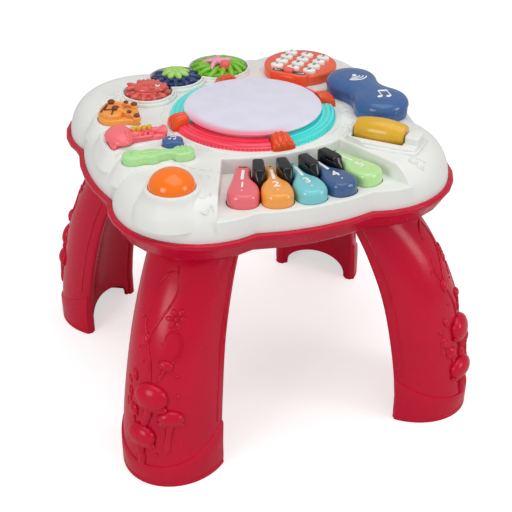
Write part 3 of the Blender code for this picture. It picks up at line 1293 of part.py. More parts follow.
def make_screw(name, place, head_low, head_high, tip):
    """Round-headed screw with its head down."""
    profile = [(0.0, tip), (SCREW_SHANK_RADIUS, tip), (SCREW_SHANK_RADIUS, head_high),
               (SCREW_HEAD_RADIUS, head_high), (SCREW_HEAD_RADIUS, head_low), (0.0, head_low)]
    turned_piece(name, profile, "metal", SMALL_STEPS, (place[0], place[1], 0.0))


def make_inside():
    head_high = TRAY_BOTTOM + SCREW_SEAT - GAP
    tip = TRAY_BOTTOM + SCREW_BOSS_HEIGHT + SCREW_BITE
    for name, angle in SCREW_ANGLES.items():
        make_screw(name, polar(SCREW_REACH, angle), head_high - SCREW_HEAD_HEIGHT, head_high, tip)

    top = BOARD_HEIGHT + BOARD_THICK
    board = box("circuit_board", *BOARD_HALF, BOARD_HEIGHT, top, (0.0, BOARD_PLACE_Y), 0.0, "board_green")
    join(board, box("chip", CHIP_HALF, CHIP_HALF, BOARD_HEIGHT + BOARD_THICK / 2, top + CHIP_HEIGHT,
                    (0.0, BOARD_PLACE_Y)))

    low = TRAY_BOTTOM + TRAY_WALL + GAP
    profile = [(0.0, low + SPEAKER_HEIGHT), (SPEAKER_MAGNET, low + SPEAKER_HEIGHT),
               (SPEAKER_MAGNET, low + SPEAKER_NECK_HEIGHT), (SPEAKER_NECK, low + SPEAKER_NECK_HEIGHT),
               (SPEAKER_RADIUS, low + SPEAKER_RIM), (SPEAKER_RADIUS, low), (0.0, low)]
    turned_piece("speaker", profile, "black", 20, (0.0, SPEAKER_PLACE_Y, 0.0))

    half_x, half_y = bay_half()
    bay_low = TRAY_BOTTOM + DOOR_THICK + GAP
    z = bay_low + BATTERY_RADIUS
    for k in range(BATTERY_COUNT):
        y = BATTERY_PLACE_Y + (k - (BATTERY_COUNT - 1) / 2) * BATTERY_PITCH
        facing = -1 if k % 2 else 1
        name = f"battery_{k + 1}"
        cell = rod(name, (-BATTERY_LENGTH / 2, y, z), (BATTERY_LENGTH / 2, y, z), BATTERY_RADIUS, "cell_grey", 16)
        near = facing * (BATTERY_LENGTH / 2 - BATTERY_NUB)
        far = facing * (BATTERY_LENGTH / 2 + BATTERY_NUB)
        join(cell, rod(f"{name}_nub", (near, y, z), (far, y, z), BATTERY_NUB_RADIUS, steps=8))

    centre = (0.0, BATTERY_PLACE_Y)
    door_top = TRAY_BOTTOM + DOOR_THICK
    screw = (half_x + DOOR_LEDGE / 2, BATTERY_PLACE_Y)
    door = box("battery_door", half_x + DOOR_LEDGE, half_y, TRAY_BOTTOM, door_top, centre, 0.0, "crimson")
    sink = TRAY_BOTTOM + DOOR_SCREW_HEAD
    cut(door, disc("door_hole", SCREW_SHANK_RADIUS + GAP, TRAY_BOTTOM - OVERRUN, door_top + OVERRUN, screw,
                   steps=SMALL_STEPS))
    cut(door, disc("door_sink", SCREW_HEAD_RADIUS + GAP, TRAY_BOTTOM - OVERRUN, sink, screw, steps=SMALL_STEPS))
    make_screw("battery_door_screw", screw, TRAY_BOTTOM, sink - GAP, bay_low + DOOR_SCREW_BITE)


def main():
    clear_scene()
    make_legs()
    make_tray()
    make_cover()
    for index in range(KEY_COUNT):
        make_key(index)
    make_black_keys()
    make_drum()
    make_ring()
    make_gears()
    make_gear_caps()
    make_keypad()
    make_handset()
    make_roller()
    make_dome_button()
    make_picture_buttons()
    make_inside()


main()
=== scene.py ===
"""Musical activity table: the finished look of every piece, built round the packed model.

Metres, +Z up, the keyboard faces -Y, and the origin is on the ground under the table.
"""

import math

import bmesh
import bpy
from bpy.props import FloatProperty, FloatVectorProperty, PointerProperty
from mathutils import Matrix, Vector
from mathutils.bvhtree import BVHTree


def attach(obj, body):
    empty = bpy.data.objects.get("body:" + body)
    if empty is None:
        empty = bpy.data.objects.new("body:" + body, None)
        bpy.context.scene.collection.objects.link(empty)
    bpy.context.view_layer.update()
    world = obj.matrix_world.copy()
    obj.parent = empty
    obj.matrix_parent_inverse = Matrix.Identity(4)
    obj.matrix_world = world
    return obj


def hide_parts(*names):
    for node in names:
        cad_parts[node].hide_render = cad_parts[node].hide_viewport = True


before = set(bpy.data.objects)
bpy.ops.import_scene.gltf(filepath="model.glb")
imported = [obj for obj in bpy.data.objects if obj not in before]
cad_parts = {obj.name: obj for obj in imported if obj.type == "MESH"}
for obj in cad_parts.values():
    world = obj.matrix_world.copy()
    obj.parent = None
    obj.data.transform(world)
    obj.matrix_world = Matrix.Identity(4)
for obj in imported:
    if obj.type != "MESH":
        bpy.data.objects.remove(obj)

bl_info = {
    "name": "Musical activity table",
    "version": (1, 0, 0),
    "blender": (4, 5, 0),
    "location": "3D View > Sidebar > Activity table",
    "description": "Builds the finished pieces, materials and studio of a musical activity table",
    "category": "Object",
}

QUARTER = math.pi / 2
TURN = math.tau
TINY = 0.000001
GAP = 0.0003
RUNNING_GAP = 0.0005
CORNERS = {"front_left": -135, "front_right": -45, "back_right": 45, "back_left": 135}


def length(name, default, text):
    return FloatProperty(name=name, description=text, default=default, min=0.0, unit="LENGTH", precision=4)


def bearing(name, degrees, text):
    return FloatProperty(name=name, description=text, default=math.radians(degrees), subtype="ANGLE")


def linear(code):
    """A colour written as six hex digits, as Blender's linear values."""
    values = [int(code[k:k + 2], 16) / 255 for k in (0, 2, 4)]
    return tuple(v / 12.92 if v <= 0.04045 else ((v + 0.055) / 1.055) ** 2.4 for v in values)


def colour(name, code):
    return FloatVectorProperty(name=name, default=linear(code), subtype="COLOR", size=3, min=0.0, max=1.0)


class HousingSizes(bpy.types.PropertyGroup):
    """Plan outline and heights of the housing"""

    rim: length("Rim", 0.2278, "Height of the seam between tray and cover")
    shelf: length("Shelf", 0.246, "Height of the keyboard's shelf")
    deck: length("Deck", 0.2607, "Height of the deck")
    wall: length("Wall", 0.0024, "Thickness of the cover")
    roll: length("Roll", 0.026, "Width of the rounded edge of the deck")
    corner_centre: length("Corner centre", 0.0769, "Place of a corner lobe's centre along X and Y")
    corner_radius: length("Corner radius", 0.0735, "Radius of a corner lobe")
    side_crown: length("Side crown", 0.153, "Reach of a side lobe")
    side_radius: length("Side radius", 0.194, "Radius of a side lobe")
    tray_top: length("Leg top", 0.2082, "Height of a leg's shoulder under the tray")


class KeySizes(bpy.types.PropertyGroup):
    """Keys that fan out from the middle of the table"""

    back: length("Back", 0.0932, "Distance of a key's back from the middle")
    reach: length("Length", 0.0558, "Length of a key")
    half: length("Half width", 0.0135, "Half the width of a key's round front")
    top: length("Top", 0.2572, "Height of a key's top")
    black_top: length("Black top", 0.2645, "Height of a black key's top")
    pitch: bearing("Pitch", 11.9, "Angle from key to key")


class InstrumentSizes(bpy.types.PropertyGroup):
    """Drum, ring, gears, keypad, handset, roller and dome"""

    drum: length("Drum", 0.0623, "Radius of the drum pad")
    drum_edge: length("Drum edge", 0.2715, "Height of the drum pad's edge")
    ring_inner: length("Ring inside", 0.057, "Inner radius of the lit ring")
    ring_outer: length("Ring outside", 0.075, "Outer radius of the lit ring")
    ring_top: length("Ring top", 0.2664, "Height of the lit ring")
    clip_top: length("Clip top", 0.2735, "Height of an orange clip")
    tooth: length("Gear tooth", 0.00185, "Pitch radius of a gear for each of its teeth")
    keypad: length("Keypad", 0.0352, "Radius of the keypad")
    keypad_top: length("Keypad top", 0.2702, "Height of the keypad")
    handset: length("Handset", 0.0182, "Height of the handset")
    roller: length("Roller", 0.012, "Radius of the roller at its middle")
    dome: length("Dome", 0.0193, "Radius of the dome button")


class TableColours(bpy.types.PropertyGroup):
    """Colours of the mouldings"""

    cream: colour("Cover", "EBECE8")
    crimson: colour("Tray and legs", "CB0B33")
    lavender: colour("Drum pad", "E1DFEE")
    ring_red: colour("Red light", "F51C44")
    ring_teal: colour("Teal light", "2BDCD6")
    clip: colour("Clips", "EA4E1A")
    key_1: colour("Key 1", "EF6C76")
    key_2: colour("Key 2", "F6A348")
    key_3: colour("Key 3", "7ACDD3")
    key_4: colour("Key 4", "41608F")
    key_5: colour("Key 5", "BDEBA0")
    black: colour("Black keys", "101011")
    mark: colour("White marks", "F6F4F2")
    gear_green: colour("Green gear", "7CC22E")
    gear_blue: colour("Blue gear", "25386C")
    gear_coral: colour("Coral gear", "DE5F57")
    petal_pink: colour("Pink flower", "F2A3BC")
    petal_green: colour("Green flower", "ABD66C")
    keypad: colour("Keypad", "F2623A")
    number_white: colour("Keypad buttons", "EFEEE9")
    number_teal: colour("Keypad numbers", "1E7F84")
    label: colour("Switch label", "54585F")
    knob_pink: colour("Knob", "EE6660")
    handset: colour("Handset", "3F649C")
    yellow: colour("Roller", "E2AE2C")
    dome: colour("Dome", "FB760A")
    toy_drum: colour("Toy drum", "F6A34C")
    trumpet: colour("Trumpet", "F9727C")
    guitar: colour("Guitar", "B3E79F")
    brown: colour("Brown", "7C3B34")


class Studio(bpy.types.PropertyGroup):
    """Camera and light"""

    azimuth: bearing("Azimuth", -20.597, "Direction of the camera")
    elevation: bearing("Elevation", 31.464, "Height of the camera's line of sight")
    distance: length("Distance", 1.1285, "Camera to target")
    lens: FloatProperty(name="Lens", description="Focal length", default=81.464, unit="CAMERA")
    world: FloatProperty(name="World", description="Strength of the even light", default=0.45, min=0.0)
    lamps: FloatProperty(name="Lamps", description="Strength of the three soft lamps", default=1.5, min=0.0)


def props(name):
    return getattr(bpy.context.scene, "activity_" + name)


# Shader values


class Value:
    """One socket of a material; Python's operators on it add Math nodes."""

    def __init__(self, tree, socket):
        self.tree = tree
        self.socket = socket

    def node(self, kind, settings=None, output=0, **sockets):
        """Another node of the same material."""
        made = self.tree.nodes.new("ShaderNode" + kind)
        for key, value in (settings or {}).items():
            setattr(made, key, value)
        self.feed(made, **sockets)
        return Value(self.tree, made.outputs[output])

    def feed(self, node, **sockets):
        """Set or link a node's sockets; i6 stands for socket 6, and _ for a space in a name."""
        for key, value in sockets.items():
            numbered = key[0] == "i" and key[1:].isdigit()
            target = node.inputs[int(key[1:]) if numbered else key.replace("_", " ")]
            if isinstance(value, Value):
                self.tree.links.new(value.socket, target)
            else:
                target.default_value = value

    def math(self, operation, first, second=0.0):
        return self.node("Math", {"operation": operation}, i0=first, i1=second)

    def __add__(self, other):
        return self.math("ADD", self, other)

    __radd__ = __add__

    def __sub__(self, other):
        return self.math("SUBTRACT", self, other)

    def __rsub__(self, other):
        return self.math("SUBTRACT", other, self)

    def __mul__(self, other):
        return self.math("MULTIPLY", self, other)

    __rmul__ = __mul__

    def mix(self, first, second):
        """First colour where this is 0, second where it is 1."""
        shades = [s if isinstance(s, Value) else (*s, 1.0) for s in (first, second)]
        return self.node("Mix", {"data_type": "RGBA"}, 2, i0=self, i6=shades[0], i7=shades[1])

    def ramp(self, low, high):
        """0 below low, 1 above high, smooth between them."""
        return self.node("MapRange", {"interpolation_type": "SMOOTHSTEP"}, Value=self,
                         From_Min=low, From_Max=high)


def shade(rgb, factor):
    return tuple(min(1.0, c * factor) for c in rgb)


def new_material(name, rgb):
    """A new material, its shader and the place on the object that its nodes start from."""
    made = bpy.data.materials.new(name)
    made.use_nodes = True
    made.diffuse_color = (*rgb, 1.0)
    tree = made.node_tree
    place = Value(tree, tree.nodes.new("ShaderNodeTexCoord").outputs["Object"])
    return made, tree.nodes["Principled BSDF"], place


def noise(place, scale, detail=2.0, rough=0.5):
    return place.node("TexNoise", Vector=place, Scale=scale, Detail=detail, Roughness=rough)


def axes(place):
    """X, Y and Z of a place, and its distance from the table's middle."""
    x = place.node("SeparateXYZ", Vector=place)
    y, z = (Value(place.tree, x.socket.node.outputs[k]) for k in (1, 2))
    return x, y, z, place.math("SQRT", x * x + y * y)


def moulded(name, rgb, roughness=0.3, grain=0.35, coat=0.0, mottle=0.05, glow=0.0, gloss=0.32):
    """Moulded plastic: faint flow marks in its colour, fine grain, and small scuffs in its gloss."""
    found = bpy.data.materials.get(name)
    if found:
        return found
    made, shader, place = new_material(name, rgb)
    flow = noise(place, 26.0, 3.0)
    speck = noise(place, 1500.0)
    scuff = noise(place, 240.0, 4.0, 0.65).ramp(0.56, 0.72)
    base = flow.ramp(0.3, 0.7).mix(shade(rgb, 1 - mottle), shade(rgb, 1 + mottle * 0.6))
    bump = place.node("Bump", Height=speck * 0.6 + flow * 0.4, Strength=grain, Distance=0.00006)
    place.feed(shader, Base_Color=base, Roughness=speck * 0.05 + (scuff * 0.07 + (roughness - 0.025)),
               Normal=bump, Specular_IOR_Level=gloss, Coat_Weight=coat, Coat_Roughness=0.08)
    # Painted glow: the base colour also shines as emission, though the part is no lamp
    if glow:
        place.feed(shader, Emission_Color=base, Emission_Strength=glow)
    return made


def tint(name):
    return tuple(getattr(props("colours"), name))


def cover_plastic():
    """Satin cream plastic with a faint cloudy tone."""
    return moulded("cover_cream", tint("cream"), 0.42, 0.5, mottle=0.02)


def tray_plastic():
    return finish("crimson", 0.22, mottle=0.04, gloss=0.26)


def finish(name, roughness=0.3, **more):
    return moulded(name + "_plastic", tint(name), roughness, **more)


def lit_plastic(name):
    """Clear tinted plastic lit from inside by its own light, with painted shade in its grooves and painted
    light between them and on its low prisms.
    """
    rgb = tint(name)
    made, shader, place = new_material(name + "_light", rgb)
    x, y, z, radius = axes(place)
    around = place.math("ARCTAN2", y, x)
    # Painted shade and painted light: darker in the grooves between the ribs, brighter on the ribs and low
    # prisms; the emission is the ring's own light
    ribs = place.math("SINE", radius * (TURN / 0.0042)) * 0.5 + 0.5
    painted_prism_light = place.math("SINE", around * 130.0) * 0.5 + 0.5
    low = 1.0 - z.ramp(0.2628, 0.264)
    painted_light_and_shade = ribs * 0.45 + painted_prism_light * low * 0.55 + noise(place, 60.0) * 0.25
    base = painted_light_and_shade.mix(shade(rgb, 0.66), tuple(c + (1 - c) * 0.07 for c in rgb))
    place.feed(shader, Base_Color=base, Emission_Color=base, Emission_Strength=0.34, Roughness=0.12,
               Coat_Weight=0.5)
    return made


def drum_skin():
    """Pale matt pad, mottled, with a painted pink glow of the red light along its front left edge."""
    rgb = tint("lavender")
    made, shader, place = new_material("drum_skin", rgb)
    x, y, _, radius = axes(place)
    # Painted light: the red ring's pink glow, painted along the pad's front left edge
    edge = radius.ramp(0.0515, 0.063)
    front = (0.0 - y).ramp(-0.018, 0.022) * (0.0 - x).ramp(-0.02, 0.012)
    clouds = noise(place, 55.0, 4.0)
    base = clouds.ramp(0.35, 0.65).mix(shade(rgb, 0.975), shade(rgb, 1.02))
    grain = noise(place, 900.0, 3.0)
    bump = place.node("Bump", Height=grain * 0.5 + clouds * 0.5, Strength=0.45, Distance=0.00012)
    place.feed(shader, Base_Color=(edge * front * 0.8).mix(base, linear("F0506E")),
               Roughness=grain * 0.12 + 0.4, Normal=bump)
    return made


def bright_metal(name, rgb, roughness=0.28):
    """Drawn metal with fine lines across its length."""
    found = bpy.data.materials.get(name)
    if found:
        return found
    made, shader, place = new_material(name, rgb)
    lines = noise(place.node("Mapping", Vector=place, Scale=(60.0, 1200.0, 1200.0)), 1.0)
    place.feed(shader, Base_Color=lines.mix(shade(rgb, 0.85), shade(rgb, 1.1)),
               Roughness=lines * 0.15 + roughness, Metallic=1.0)
    return made


# Outlines


def turned(points, angle, place=(0.0, 0.0)):
    c, s = math.cos(angle), math.sin(angle)
    return [(place[0] + c * x - s * y, place[1] + s * x + c * y) for x, y in points]


def polar(reach, degrees):
    return reach * math.cos(math.radians(degrees)), reach * math.sin(math.radians(degrees))


def circle(radius, place=(0.0, 0.0), steps=64, squeeze=1.0, angle=0.0):
    ring = [(radius * math.cos(TURN * k / steps), radius * squeeze * math.sin(TURN * k / steps))
            for k in range(steps)]
    return turned(ring, angle, place)


def smooth_line(points, steps, closed=True):
    """A smooth line through a few points."""
    count = len(points)
    line = []
    for k in range(count if closed else count - 1):
        near = [(k + n) % count if closed else min(max(k + n, 0), count - 1) for n in (-1, 0, 1, 2)]
        for s in range(steps):
            t = s / steps
            line.append(tuple(0.5 * (2 * b + (c - a) * t + (2 * a - 5 * b + 4 * c - d) * t * t
                                     + (3 * b - a - 3 * c + d) * t ** 3)
                              for a, b, c, d in zip(*(points[n] for n in near))))
    return line if closed else line + [tuple(points[-1])]


def offset(points, distance):
    """A closed outline moved outwards by a distance."""
    if not distance:
        return points
    count = len(points)
    area = sum(points[k - 1][0] * points[k][1] - points[k][0] * points[k - 1][1] for k in range(count))
    side = distance if area > 0 else -distance
    moved = []
    for k, (x, y) in enumerate(points):
        ax, ay = points[k - 1]
        bx, by = points[(k + 1) % count]
        first = Vector((y - ay, ax - x)).normalized()
        second = Vector((by - y, x - bx)).normalized()
        middle = (first + second).normalized()
        reach = side / max(middle.dot(first), 0.5)
        moved.append((x + middle.x * reach, y + middle.y * reach))
    return moved


def relaxed(points, rounds):
    """An outline with its corners worn round."""
    for _ in range(rounds):
        after = points[1:] + points[:1]
        points = [tuple(a / 4 + b / 2 + c / 4 for a, b, c in zip(points[k - 1], points[k], after[k]))
                  for k in range(len(points))]
    return points


def soften(points, radius, steps=5):
    """An outline with its corners rounded."""
    made = []
    count = len(points)
    for k in range(count):
        here = Vector(points[k])
        before = (Vector(points[k - 1]) - here).normalized()
        after = (Vector(points[(k + 1) % count]) - here).normalized()
        half = before.angle(after) / 2
        if half > QUARTER - 0.01:
            made.append(tuple(here))
            continue
        cut = radius / math.tan(half)
        start, end = here + before * cut, here + after * cut
        for s in range(steps + 1):
            t = s / steps
            made.append(tuple(start * (1 - t) ** 2 + here * 2 * t * (1 - t) + end * t * t))
    return made


def bar(half_x, half_y, radius, place=(0.0, 0.0), angle=0.0):
    corners = [(half_x, half_y), (-half_x, half_y), (-half_x, -half_y), (half_x, -half_y)]
    return turned(soften(corners, radius), angle, place)


def raised(points, z):
    return [(x, y, z) for x, y in points]


# Solids


def round_rim(points, high, edge, steps=4, crown=0.0, crown_width=0.0, drop=0.0):
    """Outlines that step in and up to a rounded rim, then to a shallow crown."""
    rings = []
    drop = drop or edge
    foot = high - drop - crown
    for k in range(1, steps + 1 if edge else 1):
        a = QUARTER * k / steps
        rings.append(raised(offset(points, edge * (math.cos(a) - 1)), foot + drop * math.sin(a)))
    for k in range(1, 4 if crown else 1):
        a = QUARTER * k / 3
        rings.append(raised(offset(points, -edge - crown_width * k / 3), high - crown * (1 - math.sin(a))))
    return rings


def skin(rings):
    """A solid from ring to ring, closed at both ends."""
    bm = bmesh.new()
    loops = []
    for ring in rings:
        verts = [bm.verts.new(p) for p in ring]
        loops.append([bm.edges.new((verts[k - 1], verts[k])) for k in range(len(verts))])
    for low, high in zip(loops, loops[1:]):
        bmesh.ops.bridge_loops(bm, edges=low + high)
    for loop in (loops[0], loops[-1]):
        bmesh.ops.edgeloop_fill(bm, edges=loop)
    bmesh.ops.recalc_face_normals(bm, faces=bm.faces)
    return bm


def prism(points, low, high):
    """An outline raised straight up."""
    return skin([raised(points, low), raised(points, high)])


def plate(points, low, high, edge=0.0, steps=4, crown=0.0, crown_width=0.0):
    """An outline raised into a plate with a rounded upper rim."""
    rings = [raised(points, low), raised(points, high - edge - crown)]
    return skin(rings + round_rim(points, high, edge, steps, crown, crown_width))


def turned_form(profile, steps=64, place=(0.0, 0.0, 0.0)):
    """A turned solid about an upright axis."""
    bm = bmesh.new()
    verts = [bm.verts.new((r, 0.0, z)) for r, z in profile]
    edges = [bm.edges.new(pair) for pair in zip(verts, verts[1:])]
    bmesh.ops.spin(bm, geom=verts + edges, cent=(0, 0, 0), axis=(0, 0, 1), angle=TURN, steps=steps,
                   use_merge=True)
    bmesh.ops.remove_doubles(bm, verts=bm.verts, dist=TINY * 5)
    bmesh.ops.translate(bm, verts=bm.verts, vec=place)
    bmesh.ops.recalc_face_normals(bm, faces=bm.faces)
    return bm


def spun_form(profile, start, span, steps):
    """Part of a ring round the middle of the table."""
    bm = bmesh.new()
    face = bm.faces.new([bm.verts.new((r, 0.0, z)) for r, z in profile])
    bmesh.ops.rotate(bm, verts=bm.verts, matrix=Matrix.Rotation(start, 3, "Z"))
    bmesh.ops.spin(bm, geom=[face], cent=(0, 0, 0), axis=(0, 0, 1), angle=span, steps=steps)
    bmesh.ops.recalc_face_normals(bm, faces=bm.faces)
    return bm


def ball(half, place, turn=None, detail=16):
    """An ellipsoid with half sizes along its own axes."""
    bm = bmesh.new()
    bmesh.ops.create_uvsphere(bm, u_segments=detail, v_segments=max(6, detail // 2 + 2), radius=1.0)
    matrix = Matrix.Translation(place) @ (turn or Matrix.Identity(4)) @ Matrix.Diagonal((*half, 1.0))
    bmesh.ops.transform(bm, matrix=matrix, verts=bm.verts)
    return bm


def tube(path, radius, sides=8, taper=None):
    """A round bar along a path; taper gives its radius as shares along the path."""
    rings = []
    path = [Vector(p) for p in path]
    side = None
    for k, point in enumerate(path):
        ahead = (path[min(k + 1, len(path) - 1)] - path[max(k - 1, 0)]).normalized()
        if side is None:
            side = ahead.orthogonal().normalized()
        side = (side - ahead * side.dot(ahead)).normalized()
        up = ahead.cross(side)
        r = radius * (taper(k / (len(path) - 1)) if taper else 1.0)
        rings.append([point + (side * math.cos(TURN * s / sides) + up * math.sin(TURN * s / sides)) * r
                      for s in range(sides)])
    return skin(rings)


def petal(place, reach, angle, z):
    """A point at a distance and direction from a place in the plan."""
    return place[0] + reach * math.cos(angle), place[1] + reach * math.sin(angle), z


def gather(*forms):
    """Several solids in one mesh."""
    bm = forms[0]
    for other in forms[1:]:
        spare = bpy.data.meshes.new("spare")
        other.to_mesh(spare)
        other.free()
        bm.from_mesh(spare)
        bpy.data.meshes.remove(spare)
    return bm


def rotated(bm, matrix):
    bmesh.ops.transform(bm, matrix=matrix, verts=bm.verts)
    return bm


def linked(name, data):
    """A new object in the scene."""
    obj = bpy.data.objects.new(name, data)
    bpy.context.scene.collection.objects.link(obj)
    return obj


def copied(mesh):
    """A mesh's shape, to be worked on."""
    bm = bmesh.new()
    bm.from_mesh(mesh)
    return bm


def evaluated(obj):
    """An object's shape after its modifiers, to be worked on."""
    view = bpy.context.evaluated_depsgraph_get()
    return copied(obj.evaluated_get(view).to_mesh())


def floored(bm, low):
    """A form with nothing below a height."""
    for vert in bm.verts:
        vert.co.z = max(vert.co.z, low)
    return bm


def about_z(angle):
    return Matrix.Rotation(angle, 4, "Z")


def loose(name, bm):
    """A shaping tool: an object that isn't shown and is removed after use."""
    mesh = bpy.data.meshes.new(name)
    bmesh.ops.recalc_face_normals(bm, faces=bm.faces)
    bm.to_mesh(mesh)
    bm.free()
    return linked(name, mesh)


def carved(bm, joins=(), cuts=()):
    """A solid joined with some solids, then cut by others."""
    body = loose("body", bm)
    tools = [body]
    for forms, operation in ((joins, "UNION"), (cuts, "DIFFERENCE")):
        if not forms:
            continue
        group = bpy.data.collections.new(operation)
        for form in forms:
            tool = loose("tool", form)
            group.objects.link(tool)
            tools.append(tool)
        step = body.modifiers.new(operation, "BOOLEAN")
        step.operation = operation
        step.solver = "EXACT"
        step.operand_type = "COLLECTION"
        step.collection = group
        step.use_self = operation == "UNION"
    result = evaluated(body)
    for tool in tools:
        mesh = tool.data
        bpy.data.objects.remove(tool)
        bpy.data.meshes.remove(mesh)
    for operation in ("UNION", "DIFFERENCE"):
        group = bpy.data.collections.get(operation)
        if group:
            bpy.data.collections.remove(group)
    bmesh.ops.remove_doubles(result, verts=result.verts, dist=TINY * 5)
    return result


def piece(name, bm, material, body="housing", stands_for=(), sharp=38):
    """A finished piece: smooth shaded, on its body, with its material."""
    mesh = bpy.data.meshes.new(name)
    bm.to_mesh(mesh)
    bm.free()
    mesh.materials.append(material)
    mesh.shade_smooth()
    mesh.set_sharp_from_angle(angle=math.radians(sharp))
    obj = linked(name, mesh)
    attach(obj, body)
    if stands_for:
        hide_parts(*stands_for)
    return obj


def fair_copy(name, material, body, sharp=32):
    """A packed piece's own shape, merged and smooth shaded."""
    bm = copied(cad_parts[name].data)
    bmesh.ops.remove_doubles(bm, verts=bm.verts, dist=TINY * 5)
    return piece(name + "_finished", bm, material, body, [name], sharp)


def placed(point, angle):
    return Matrix.Translation(point) @ about_z(angle)


def lettering(name, text, size, height, matrix, material, body):
    """A raised character, laid flat and then put in its place."""
    curve = bpy.data.curves.new(name, "FONT")
    curve.body = text
    curve.size = size
    curve.align_x = curve.align_y = "CENTER"
    curve.extrude = height / 2
    curve.offset = size * 0.012
    curve.resolution_u = 5
    guide = bpy.data.objects.new(name, curve)
    mesh = bpy.data.meshes.new_from_object(guide)
    bpy.data.objects.remove(guide)
    bpy.data.curves.remove(curve)
    bm = copied(mesh)
    bpy.data.meshes.remove(mesh)
    bmesh.ops.remove_doubles(bm, verts=bm.verts, dist=TINY * 5)
    return piece(name, rotated(bm, matrix), material, body)


# Plan of the table


def lobed_outline(outset=0.0, corner_steps=26, side_steps=16):
    """Four corner lobes and four side lobes that meet in eight notches."""
    size = props("housing")
    corner, side = size.corner_radius + outset, size.side_radius + outset
    middle = size.corner_centre
    side_centre = size.side_crown - size.side_radius
    reach = Vector((middle, middle - side_centre))
    along = (side ** 2 - corner ** 2 + reach.length_squared) / (2 * reach.length)
    across = math.sqrt(side ** 2 - along ** 2)
    unit = reach.normalized()
    notch = Vector((0.0, side_centre)) + unit * along + Vector((-unit.y, unit.x)) * across
    start = math.atan2(notch.x - middle, notch.y - middle)
    half = math.atan2(notch.x, notch.y - side_centre)
    quarter = []
    for k in range(corner_steps):
        a = start + 2 * (QUARTER / 2 - start) * k / corner_steps
        quarter.append((middle + corner * math.cos(a), middle + corner * math.sin(a)))
    for k in range(side_steps):
        a = QUARTER - half + 2 * half * k / side_steps
        quarter.append((side * math.cos(a), side_centre + side * math.sin(a)))
    return [p for turn in range(4) for p in turned(quarter, QUARTER * turn)]


def recess_outline(margin=0.0):
    """Keyboard recess: an arc at its back, and open at the front."""
    back_y, radius, back_half, front_half, front_y = 0.0817, 0.155, 0.0545, 0.087, 0.152
    centre = radius - back_y
    half = math.asin(back_half / radius)
    turns = [-QUARTER + half - 2 * half * k / 24 for k in range(25)]
    points = [(radius * math.cos(a), centre + radius * math.sin(a)) for a in turns]
    slope = (front_half - back_half) / (front_y + points[-1][1])
    out = 0.03
    points += [(-front_half - slope * out, -front_y - out), (front_half + slope * out, -front_y - out)]
    return offset(points, margin)


# Half widths of a key, as shares of its greatest, at shares of its length
FULL_SHARES = ((0.0, 0.33), (0.17, 0.36), (0.33, 0.41), (0.43, 0.58), (0.51, 0.8), (0.61, 0.95), (0.76, 1.0),
               (0.87, 0.92), (0.94, 0.73), (0.985, 0.42))
END_SHARES = ((0.0, 0.7), (0.17, 0.75), (0.33, 0.8), (0.43, 0.84), (0.51, 0.88)) + FULL_SHARES[5:]


def fan(flat, angle):
    """Places on the keyboard fan from distances along and across."""
    return turned([(across, -along) for along, across in flat], angle)


def key_angle(index):
    return (index - 2) * props("keys").pitch


def key_outline(index, margin=0.0):
    """A neck between the black keys and a wide round front."""
    size = props("keys")
    left = END_SHARES if index == 0 else FULL_SHARES
    right = END_SHARES if index == 4 else FULL_SHARES
    back, tip = size.back, size.back + size.reach
    flat = [(back + size.reach * r, -size.half * s) for r, s in left] + [(tip, 0.0)]
    flat += [(back + size.reach * r, size.half * s) for r, s in reversed(right)]
    points = fan(smooth_line(flat, 4, False), key_angle(index))
    return offset(points, margin)


def black_half(along):
    """Half the gap between two keys at a distance from the middle, less a clearance."""
    size = props("keys")
    share = (along - size.back) / size.reach
    for (r0, s0), (r1, s1) in zip(FULL_SHARES, FULL_SHARES[1:]):
        if r0 <= share <= r1:
            width = s0 + (s1 - s0) * (share - r0) / (r1 - r0)
            return max(along * math.sin(size.pitch / 2) - size.half * width - 0.0004, 0.0006)
    return 0.0006


def black_outline(angle, nose):
    """The gap between two necks, with round corners."""
    size = props("keys")
    places = [size.back + size.reach * nose * k / 16 for k in range(17)]
    right = [(along, black_half(along)) for along in places]
    (back, back_half), (front, front_half) = right[0], right[-1]
    flat = [(along, -half) for along, half in right]
    flat += [(front, front_half * k / 3) for k in (-2, -1, 0, 1, 2)] + list(reversed(right))
    flat += [(back, back_half * k / 3) for k in (2, 1, 0, -1, -2)]
    return fan(relaxed(flat, 3), angle)


def gear_layout():
    """Place, number of teeth and turn of each gear, with the teeth in mesh."""
    tooth = props("parts").tooth
    blue = Vector((-0.0421, 0.0985))
    start = math.radians(12.25)
    layout = {"blue": (blue, 12, start)}
    for name, count, angle in (("green", 14, start), ("coral", 11, math.radians(215.15))):
        place = blue + Vector((math.cos(angle), math.sin(angle))) * tooth * (12 + count)
        phase = ((angle - start) * 12 / TURN) % 1.0
        layout[name] = (place, count, angle + math.pi + (0.5 + phase) * TURN / count)
    return layout


def mirrored(half, start=(), end=()):
    """An outline from one half, with a point on its axis at each end."""
    return (*start, *half, *end, *[(x, -y) for x, y in reversed(half)])


